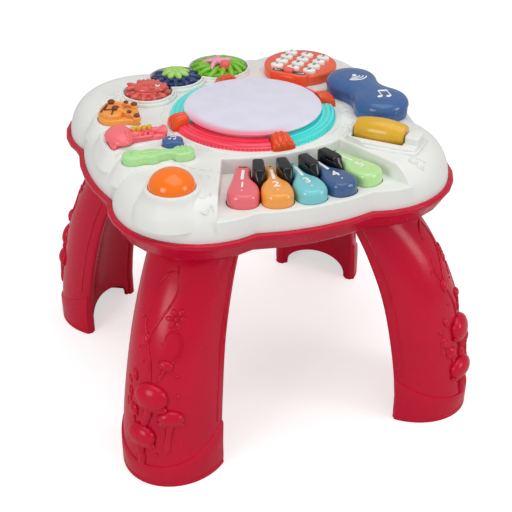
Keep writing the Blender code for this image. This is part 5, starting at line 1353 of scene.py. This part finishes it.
class ACTIVITY_OT_gears(Build, bpy.types.Operator):
    """Three gears with petals for teeth, and what rides on them"""

    bl_idname = "activity.gears"
    bl_label = "Gears"

    def build(self, context):
        low = props("housing").deck + RUNNING_GAP
        layout = gear_layout()
        for name, (place, count, turn) in layout.items():
            self.gear(name, place, count, turn, low)
        cap = low + 0.0083
        place = layout["green"][0]
        star = []
        for k in range(5):
            path = [petal(place, r, TURN * k / 5 + bend, cap + 0.0021 - drop)
                    for r, bend, drop in ((0.0, 0.0, 0.0), (0.005, 0.0, 0.0), (0.01, 0.06, 0.0006),
                                          (0.0145, 0.16, 0.0016), (0.0165, 0.22, 0.0022))]
            star.append(tube(smooth_line(path, 4, False), 0.0031, 10, lambda t: 1.0 - 0.8 * t ** 1.8))
        star.append(ball((0.0055, 0.0055, 0.003), (*place, cap + 0.0021)))
        piece("star_cap_petals", gather(*star), finish("petal_pink", 0.25, coat=0.3), "gear_green",
              ["star_cap"], 60)
        knob = (place.x + 0.0022, place.y - 0.0118, cap)
        profile = [(0.0, 0.0066), (0.0024, 0.0064), (0.0041, 0.0054), (0.0048, 0.004), (0.005, 0.0),
                   (0.0046, -0.0022), (0.0, -0.0022)]
        piece("star_knob", turned_form(profile, 32, knob), finish("knob_pink", 0.25, coat=0.3), "gear_green",
              (), 60)
        place = layout["blue"][0]
        petals = []
        for k in range(8):
            a = TURN * k / 8
            leaf = about_z(a) @ Matrix.Rotation(0.16, 4, "Y")
            petals.append(ball((0.0068, 0.0034, 0.003), petal(place, 0.0072, a, cap + 0.0012), leaf))
        petals.append(ball((0.0042, 0.0042, 0.0046), (*place, cap + 0.0006)))
        petals.append(plate(circle(0.006, place, 32), cap, cap + 0.0022, 0.0006, 2))
        piece("flower_cap_petals", gather(*petals), finish("petal_green", 0.28, coat=0.2), "gear_blue",
              ["flower_cap"], 60)
        self.fish(layout["coral"][0], cap)

    def gear(self, name, place, count, turn, low):
        pitch = props("parts").tooth * count
        tip, root = pitch + TOOTH - TOOTH_GAP, pitch - TOOTH - TOOTH_GAP
        hub = pitch * 0.62
        forms = [plate(circle(root, place, 72), low, low + 0.005, 0.0008, 3),
                 plate(circle(hub, place, 56), low, low + 0.008, 0.0012, 3)]
        inner = hub * 0.62
        for k in range(count):
            a = turn + TURN * k / count
            if name == "green":
                path = [petal(place, r, a + GREEN_LEAN * s, low + z)
                        for r, s, z in ((inner, 1.0, 0.0072), (root * 0.72, 0.55, 0.0072),
                                        (root * 0.95, 0.15, 0.0052), (tip - 0.0021, 0.0, 0.0031))]
                forms.append(tube(smooth_line(path, 4, False), 0.0026, 10,
                                  lambda t: 0.8 + 0.25 * math.sin(math.pi * t)))
                forms.append(ball((0.003, 0.0028, 0.003), petal(place, tip - 0.003, a, low + 0.0032),
                                  about_z(a), 12))
            else:
                tilt = about_z(a) @ Matrix.Rotation(0.1, 4, "Y")
                forms.append(ball(((tip - inner) / 2, 0.003, 0.0036),
                                  petal(place, (tip + inner) / 2, a, low + 0.004), tilt, 14))
        bm = floored(gather(*forms), low)
        for vert in bm.verts:
            reach = Vector((vert.co.x - place.x, vert.co.y - place.y))
            if reach.length > tip:
                reach *= tip / reach.length
                vert.co.x, vert.co.y = place.x + reach.x, place.y + reach.y
        gear = "gear_" + name
        piece(gear + "_petals", bm, finish(gear, 0.22, coat=0.4), gear, [gear], 60)

    def fish(self, place, cap):
        """A small round fish that faces the photograph's side: body, tail, fins, scales and an eye."""
        turn = about_z(math.radians(-20.6))

        def at(x, y, z):
            return Vector((place.x, place.y, cap)) + turn.to_3x3() @ Vector((x, y, z))

        parts = [((0.006, 0.0026, 0.0022), (-0.015, side * -0.0034, 0.0012), side * 0.55) for side in (-1, 1)]
        parts += [((0.0026, 0.0017, 0.0022), (-0.008 + 0.0042 * k, 0.0046, 0.0048 - 0.0004 * abs(k - 2)), 0.0)
                  for k in range(5)]
        parts += [((0.0032, 0.0007, 0.001), (-0.003 + 0.0026 * k, -0.0052, 0.0048), -0.9) for k in range(4)]
        parts += [((0.0042, 0.0024, 0.0014), (0.0035, -0.0076, 0.0036), -0.5),
                  ((0.003, 0.005, 0.0026), (0.0152, 0.0, 0.0018), 0.0)]
        forms = [ball((0.016, 0.0108, 0.006), at(0.0015, 0.0, 0.0), turn, 32)]
        forms += [ball(half, at(*spot), turn @ about_z(angle)) for half, spot, angle in parts]
        piece("animal_cap_fish", floored(gather(*forms), cap), finish("gear_coral", 0.22, coat=0.4),
              "gear_coral", ["animal_cap"], 60)
        eye = at(0.0096, -0.0046, 0.0044)
        white = ball((0.0022, 0.0022, 0.0012), eye, turn, 20)
        piece("fish_eye_white", white, finish("mark", 0.2), "gear_coral")
        pupil = ball((0.0012, 0.0012, 0.0008), eye + Vector((0.0001, -0.0003, 0.0008)), turn)
        piece("fish_eye_black", pupil, finish("black", 0.1, coat=0.6), "gear_coral", ())


class ACTIVITY_OT_keypad(Build, bpy.types.Operator):
    """Keypad with twelve buttons and a slide switch"""

    bl_idname = "activity.keypad"
    bl_label = "Keypad"

    def build(self, context):
        parts = props("parts")
        low, top = props("housing").deck + GAP, parts.keypad_top
        bar_top = top + 0.0018
        centre = polar(KEYPAD_REACH, 45)
        back = -0.0287

        def flat(half_x, half_y, radius, x=0.0):
            return on_keypad(bar(half_x, half_y, radius, (x, back)))

        body = plate(circle(parts.keypad, centre, 96), low, top, 0.002, 4)
        bar_plan = [(x, y + back) for x, y in bar(0.02, 0.0054, 0.0046)]
        slot = flat(0.0076, 0.0017, 0.0012)
        cuts = [prism(circle(parts.keypad - 0.002, centre, 72), low - 0.004, top - 0.002),
                prism(slot, top - 0.006, bar_top + 0.004),
                prism(flat(0.0168, 0.0034, 0.003), bar_top - 0.0006, bar_top + 0.004)]
        cuts += [prism(circle(0.0067, place, 40, 0.0049 / 0.0067, KEYPAD_TURN), low, top + 0.004)
                 for place in number_places()]
        shell = carved(body, [plate(on_keypad(bar_plan), low, bar_top, 0.0014, 4)], cuts)
        piece("keypad_shell", shell, finish("keypad", 0.28, coat=0.25), "housing", ["keypad_plate"],
              34)
        label = carved(plate(flat(0.0164, 0.0031, 0.0028), bar_top - 0.0007, bar_top - 0.0001), (),
                       [prism(slot, bar_top - 0.004, bar_top + 0.004)])
        piece("switch_label", label, finish("label", 0.45), "housing", (), 34)
        dashes = [plate(flat(0.0012, 0.0003, 0.0001, x), bar_top - 0.0004, bar_top)
                  for x in (-0.0132, -0.0108, 0.0108, 0.0132)]
        dashes += [plate(circle(0.0009, place, 12), bar_top - 0.0004, bar_top)
                   for place in on_keypad([(-0.0142, back + 0.0012), (0.0142, back + 0.0012)])]
        piece("switch_marks", gather(*dashes), finish("mark", 0.4), "housing")
        knob = plate(flat(0.0042, 0.0032, 0.0012), bar_top + 0.0002, bar_top + 0.0034, 0.0009, 3)
        neck = plate(flat(0.0021, 0.0013, 0.0004), bar_top - 0.0034, bar_top + 0.001)
        ribs = [tube(raised(on_keypad([(x, back - 0.0022), (x, back + 0.0022)]), bar_top + 0.0034), 0.0003, 6)
                for x in (-0.0018, 0.0, 0.0018)]
        piece("switch_knob_cap", gather(knob, neck, *ribs), finish("knob_pink", 0.3, coat=0.2), "switch_knob",
              ["switch_knob"])
        names = (*"123456789", "star", "0", "hash")
        marks = {"star": "*", "hash": "#"}
        white, teal = finish("number_white", 0.34), finish("number_teal", 0.4)
        for name, place in zip(names, number_places()):
            node = "number_button_" + name
            height = top + 0.0036
            button = plate(circle(0.0064, place, 40, 0.0046 / 0.0064, KEYPAD_TURN), top - 0.0036, height,
                           0.0013, 4, 0.0004, 0.0016)
            foot = prism(circle(0.0071, place, 32, 0.0053 / 0.0071, KEYPAD_TURN), top - 0.0037, top - 0.0024)
            piece(node + "_cap", gather(button, foot), white, node, [node], 45)
            spot = placed((*place, height), KEYPAD_TURN)
            if name == "star":
                spot = spot @ Matrix.Translation((0.0, -0.0011, 0.0))
            lettering(node + "_mark", marks.get(name, name), 0.0062, 0.0004, spot, teal, node)


class ACTIVITY_OT_handset(Build, bpy.types.Operator):
    """Telephone handset that lifts off"""

    bl_idname = "activity.handset"
    bl_label = "Handset"

    def build(self, context):
        low = props("housing").deck + GAP
        top = low + props("parts").handset
        seam = low + 0.0088
        blue, black = finish("handset", 0.24, coat=0.35), finish("black", 0.5)
        # The seam piece is a black plate in the slit between the shells: painted shade in the joint
        for name, form, material, nodes, slot, sharp in (
                ("lower", plate(handset_outline(-0.0008), low, seam - 0.0004, 0.0006, 2), blue,
                 ["handset_base"], "handset_blue", 38),
                ("seam", plate(handset_outline(-0.0016), seam - 0.001, seam + 0.001), black, (), "black", 38),
                ("upper", plate(handset_outline(), seam, top, 0.008, 10, 0.0012, 0.007), blue,
                 ["handset_cover"], "handset_blue", 50)):
            piece("handset_" + name, form, material, "handset", nodes, sharp)
        along = math.atan2(-0.052, 0.0055)
        forms = [tube([petal((0.106, 0.013), radius, along + math.radians(-52 + 8 * s), top - 0.0002)
                       for s in range(14)], 0.0007) for radius in (0.005, 0.0082, 0.0114)]
        forms.append(ball((0.0022, 0.0022, 0.0006), (0.106, 0.013, top - 0.0001)))
        for x, y in ((0.1072, -0.0395), (0.1072 + 0.0078, -0.0395 - 0.002)):
            forms.append(ball((0.0028, 0.0021, 0.0006), (x, y, top - 0.0001), about_z(0.4)))
            stem = [(x + 0.0024, y), (x + 0.0036, y + 0.0115)]
            forms.append(tube(raised(stem, top - 0.0002), 0.0006))
        forms.append(tube([(0.1108, -0.0282, top - 0.0001), (0.1186, -0.0302, top - 0.0001)], 0.0011))
        piece("handset_marks", gather(*forms), finish("mark", 0.4), "handset", (), 60)


class ACTIVITY_OT_roller(Build, bpy.types.Operator):
    """Barrel roller"""

    bl_idname = "activity.roller"
    bl_label = "Roller"

    def build(self, context):
        parts = props("parts")
        half, end, edge, bore = ROLLER_HALF, 0.0092, 0.0008, 0.0019
        arc = [(math.sin(QUARTER * k / 3), math.cos(QUARTER * k / 3)) for k in range(4)]
        profile = [(bore, half), *[(end - edge + edge * s, half - edge + edge * c) for s, c in arc]]
        for k in range(1, 24):
            share = 1 - 2 * k / 24
            profile.append((end + (parts.roller - end) * (1 - share ** 2), half * share))
        profile += [(end - edge + edge * s, -half + edge - edge * c) for s, c in reversed(arc)]
        place = placed((*polar(ROLLER_REACH, -45), props("housing").deck + ROLLER_AXIS), math.radians(-45))
        bm = rotated(turned_form(profile + [(bore, -half), (bore, half)], 72),
                     place @ Matrix.Rotation(QUARTER, 4, "Y"))
        piece("roller_barrel", bm, finish("yellow", 0.24, coat=0.35, mottle=0.06), "roller", ["roller"],
              50)


class ACTIVITY_OT_dome(Build, bpy.types.Operator):
    """Dome button"""

    bl_idname = "activity.dome"
    bl_label = "Dome button"

    def build(self, context):
        radius, height, wall = props("parts").dome, 0.0146, 0.002
        foot, ledge = BEZEL_TOP - 0.027, BEZEL_TOP - 0.0248
        turns = [QUARTER * k / 20 for k in range(21)]
        outer, inner = ([((radius - w) * math.sin(a), BEZEL_TOP + (height - w) * math.cos(a)) for a in turns]
                        for w in (0.0, wall))
        profile = outer + [(radius, ledge), (radius + 0.0012, ledge), (radius + 0.0012, foot),
                           (radius - wall, foot)] + inner[::-1]
        place = (*polar(DOME_REACH, -135), 0.0)
        # The dome's faint emission is a painted glow; the dome is no lamp
        piece("dome_button_shell", turned_form(profile, 96, place), finish("dome", 0.16, coat=0.4, glow=0.05),
              "dome_button", ["dome_button"], 50)


class ACTIVITY_OT_pictures(Build, bpy.types.Operator):
    """Picture buttons: trumpet, toy drum, guitar and note"""

    bl_idname = "activity.pictures"
    bl_label = "Picture buttons"

    def build(self, context):
        self.deck = props("housing").deck
        self.low = self.deck + PLATFORM_LIFT - POCKET_DROP + 0.0027
        self.trumpet()
        self.toy_drum()
        self.guitar()
        self.note()

    def spots(self, name, points):
        """3D points from distances along, across and above the deck."""
        flat = on_button(name, [(x, y) for x, y, z in points])
        return [(x, y, self.deck + z) for (x, y), (_, _, z) in zip(flat, points)]

    def spot(self, name, x, y, z):
        return self.spots(name, [(x, y, z)])[0]

    def stem(self, name):
        """What is under a picture button: its stem and foot."""
        place = stem_place(name)
        under = self.deck + PLATFORM_LIFT - POCKET_DROP - 0.0021
        return gather(prism(circle(0.0036, place, 24), under - 0.0016, self.low + 0.001),
                      prism(circle(0.005, place, 24), under - 0.0016, under))

    def trumpet(self):
        name = "trumpet_button"
        forms = [plate(button_outline(name, BODY_MARGIN), self.low, self.deck + 0.0048, 0.0016, 4)]
        lean = about_z(math.radians(BUTTONS[name][1]))
        # The bell's parts: place along, half sizes and height of each
        for x, long, wide, tall, base in ((-0.0152, 0.0126, 0.0176, 0.0088, 0.0042),
                                          (-0.01, 0.0026, 0.0168, 0.0098, 0.0042),
                                          (-0.004, 0.012, 0.007, 0.006, 0.004)):
            spot = self.spot(name, x, 0.0, base)
            forms.append(floored(ball((long, wide, tall), spot, lean, 40), spot[2]))
        forms.append(tube(self.spots(name, [(x, 0.0, 0.0066) for x in (0.006, 0.014, 0.019)]), 0.003, 12))
        cup = [(0.0165, 0.003), (0.0195, 0.0036), (0.0225, 0.0058), (0.0248, 0.0066), (0.0262, 0.0056)]
        turns = [TURN * k / 24 for k in range(24)]
        rings = [[(x, r * math.cos(a), 0.006 + r * 0.62 * math.sin(a)) for a in turns] for x, r in cup]
        forms.append(skin([self.spots(name, ring) for ring in rings]))
        loop = ((-0.008, -0.007), (0.006, -0.0076), (0.0122, -0.006), (0.013, 0.0), (0.0122, 0.0062),
                (0.004, 0.0076), (-0.008, 0.007))
        forms.append(tube(smooth_line(self.spots(name, raised(loop, 0.0052)), 4, False), 0.0014))
        caps = []
        for x in (0.0265 * share for share in (-0.12, 0.06, 0.24, 0.42)):
            valve, *slides = on_button(name, [(x, -0.001), (x, -0.0056), (x, 0.0036)])
            forms.append(plate(circle(0.0021, valve, 20), self.low, self.deck + 0.0106, 0.0004, 2))
            forms += [plate(circle(0.0016, slide, 16), self.low, self.deck + 0.0078, 0.0005, 2)
                      for slide in slides]
            caps.append(plate(circle(0.0024, valve, 24), self.deck + 0.01, self.deck + 0.0126, 0.0008, 3))
        body = floored(gather(*forms), self.low)
        for vert in body.verts:
            vert.co.z = min(vert.co.z, self.deck + TRUMPET_HIGH)
        piece("trumpet_body", gather(body, self.stem(name)), finish("trumpet", 0.26, coat=0.25), name, [name],
              50)
        piece("trumpet_valve_caps", gather(*caps), finish("yellow", 0.24, coat=0.35), name, ())

    def toy_drum(self):
        name = "toy_drum_button"
        forms = [plate(button_outline(name, BODY_MARGIN), self.low, self.deck + 0.0062, 0.0018, 4)]
        shell = on_button(name, relaxed([(x * 0.019, y * 0.021) for x, y in (
            (-0.96, 0.1), (-0.84, -0.6), (-0.42, -0.86), (0.06, -0.88), (0.26, -0.5), (0.34, 0.1),
            (0.2, 0.72), (-0.16, 0.94), (-0.62, 0.64))], 1))
        forms.append(plate(shell, self.low, self.deck + 0.0106, 0.0022, 5))
        sticks = (((-0.0052, 0.01), (0.015, 0.0078)), ((-0.002, -0.004), (0.016, -0.0178)))
        top = 0.0112
        browns = []
        for start, end in sticks:
            (ax, ay), (bx, by) = start, end
            stick = [(ax, ay, top), ((ax + bx) / 2, (ay + by) / 2, top - 0.0012), (bx, by, top - 0.0035)]
            forms.append(tube(self.spots(name, stick), 0.0018, 10))
            forms.append(ball((0.0038, 0.0038, 0.0034), self.spot(name, bx, by, top - 0.0046)))
            middle = (ax * 0.35 + bx * 0.65, ay * 0.35 + by * 0.65)
            for place, radius, high, lift in ((start, 0.0034, 0.0022, 0.0008), (end, 0.003, 0.0022, -0.002),
                                              (middle, 0.0022, 0.0014, 0.0003)):
                browns.append(ball((radius, radius, high), self.spot(name, *place, top + lift)))
        piece("toy_drum_body", gather(*forms, self.stem(name)), finish("toy_drum", 0.28, coat=0.2), name,
              [name], 50)
        rope = [(-0.0152, -0.008, 0.0108), (-0.0092, 0.0068, 0.0109), (-0.0118, -0.0052, 0.0109),
                (-0.004, -0.004, 0.0109), (-0.006, -0.015, 0.0107)]
        spots = self.spots(name, rope)
        browns += [tube(pair, 0.0008, 6) for pair in zip(spots, spots[1:])]
        piece("toy_drum_trim", gather(*browns), finish("brown", 0.35), name, (), 60)

    def guitar(self):
        name = "guitar_button"
        forms = [plate(button_outline(name, BODY_MARGIN, 4), self.low, self.deck + 0.0086, 0.0018, 5)]
        for plan, high, edge in ((bar(0.0185, 0.0016, 0.0005, (0.004, 0.0)), 0.0097, 0.0004),
                                 (bar(0.0007, 0.0034, 0.0003, (-0.0225, 0.0)), 0.0098, 0.0003)):
            forms.append(plate(on_button(name, plan), self.deck + 0.008, self.deck + high, edge, 2))
        lean = about_z(math.radians(BUTTONS[name][1]))
        forms += [ball((0.004, 0.0009, 0.0007), self.spot(name, -0.015, y, 0.0084), lean)
                  for y in (-0.0045, 0.0045)]
        forms += [ball((0.0012, 0.0015, 0.0012), self.spot(name, 0.017 + 0.004 * k, side * 0.005, 0.0086))
                  for k in range(3) for side in (-1, 1)]
        piece("guitar_body", gather(*forms, self.stem(name)), finish("guitar", 0.3, coat=0.2), name, [name],
              50)

    def note(self):
        name = "note_button"
        form = plate(button_outline(name, BODY_MARGIN, 4), self.low, self.deck + 0.0074, 0.0024, 6,
                     0.0004, 0.0016)
        piece("note_body", gather(form, self.stem(name)), finish("handset", 0.26, coat=0.25), name, [name],
              50)
        top = 0.0074
        marks = []
        for x in (-0.0024, 0.0018):
            marks.append(ball((0.0012, 0.0009, 0.0004), self.spot(name, x, -0.0016, top)))
            marks.append(tube(self.spots(name, [(x + 0.0009, y, top) for y in (-0.0014, 0.003)]), 0.0003, 6))
        marks.append(tube(self.spots(name, [(-0.0015, 0.003, top), (0.0027, 0.003, top)]), 0.0005, 6))
        piece("note_mark", gather(*marks), finish("mark", 0.4), name, (), 60)


WHITE = (1.0, 1.0, 1.0, 1.0)
FLOOR_WHITE = (0.72, 0.72, 0.72)
CAMERA_AIM = Vector((0.00312, 0.0, 0.11072))


class ACTIVITY_OT_stage(Build, bpy.types.Operator):
    """Pale floor, soft studio light and the camera"""

    bl_idname = "activity.stage"
    bl_label = "Stage"

    def build(self, context):
        studio = props("studio")
        bm = bmesh.new()
        bmesh.ops.create_grid(bm, x_segments=1, y_segments=1, size=6.0)
        mesh = bpy.data.meshes.new("floor")
        bm.to_mesh(mesh)
        bm.free()
        floor = linked("floor", mesh)
        mesh.materials.append(self.floor_material())
        # Name, place, height aimed at, size and power
        for name, place, height, size, power in (("above", (0.1, -0.2, 1.5), 0.2, 1.1, 5.2),
                                                 ("left", (-1.5, -0.9, 0.9), 0.18, 0.7, 6.0),
                                                 ("right", (1.3, -1.2, 0.8), 0.18, 0.6, 4.4)):
            self.lamp("lamp_" + name, Vector(place), Vector((0.0, 0.0, height)), size, power * studio.lamps)
        self.world(context, studio)
        self.camera(context, studio)
        context.scene.view_settings.view_transform = "Standard"

    def floor_material(self):
        made, shader, place = new_material("floor", FLOOR_WHITE)
        rays = place.node("LightPath", output="Is Camera Ray")
        place.feed(shader, Base_Color=(*FLOOR_WHITE, 1.0), Roughness=0.9)
        glow = place.node("Emission", Color=WHITE, Strength=rays * 0.58)
        both = place.node("AddShader", i0=Value(place.tree, shader.outputs[0]), i1=glow)
        place.feed(place.tree.nodes["Material Output"], Surface=both)
        return made

    def lamp(self, name, place, aim, size, power):
        light = bpy.data.lights.new(name, "AREA")
        light.shape = "RECTANGLE"
        light.size = size
        light.size_y = size * 1.2
        light.energy = power
        obj = linked(name, light)
        obj.location = place
        obj.rotation_euler = (aim - place).to_track_quat("-Z", "Y").to_euler()

    def world(self, context, studio):
        world = bpy.data.worlds.new("studio")
        world.use_nodes = True
        context.scene.world = world
        tree = world.node_tree
        rays = Value(tree, tree.nodes.new("ShaderNodeLightPath").outputs["Is Camera Ray"])
        rays.feed(tree.nodes["Background"], Color=WHITE, Strength=rays * (1.0 - studio.world) + studio.world)

    def camera(self, context, studio):
        data = bpy.data.cameras.new("camera")
        data.lens = studio.lens
        data.sensor_width = 36.0
        obj = linked("camera", data)
        a, e = studio.azimuth, studio.elevation
        back = Vector((math.sin(a) * math.cos(e), -math.cos(a) * math.cos(e), math.sin(e)))
        obj.location = CAMERA_AIM + back * studio.distance
        obj.rotation_mode = "QUATERNION"
        obj.rotation_quaternion = (-back).to_track_quat("-Z", "Y")
        data.clip_start, data.clip_end = 0.05, 50.0
        context.scene.camera = obj


STEPS = tuple(Build.__subclasses__())
GROUPS = {"housing": HousingSizes, "keys": KeySizes, "parts": InstrumentSizes, "colours": TableColours,
          "studio": Studio}


class ACTIVITY_PT_table(bpy.types.Panel):
    """The table's pieces, and the sizes and colours that they take"""

    bl_label = "Activity table"
    bl_idname = "ACTIVITY_PT_table"
    bl_space_type = "VIEW_3D"
    bl_region_type = "UI"
    bl_category = "Activity table"

    def draw(self, context):
        for step in STEPS:
            self.layout.operator(step.bl_idname)
        for name, group in GROUPS.items():
            box = self.layout.box()
            box.label(text=group.__doc__)
            for key in group.__annotations__:
                box.prop(props(name), key)


def register():
    for made in (*GROUPS.values(), *STEPS, ACTIVITY_PT_table):
        bpy.utils.register_class(made)
    for name, group in GROUPS.items():
        setattr(bpy.types.Scene, "activity_" + name, PointerProperty(type=group))


def unregister():
    for name in GROUPS:
        delattr(bpy.types.Scene, "activity_" + name)
    for made in reversed((*GROUPS.values(), *STEPS, ACTIVITY_PT_table)):
        bpy.utils.unregister_class(made)


def main():
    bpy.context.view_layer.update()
    register()
    for step in STEPS:
        group, name = step.bl_idname.split(".")
        getattr(getattr(bpy.ops, group), name)()


if __name__ == "__main__":
    main()
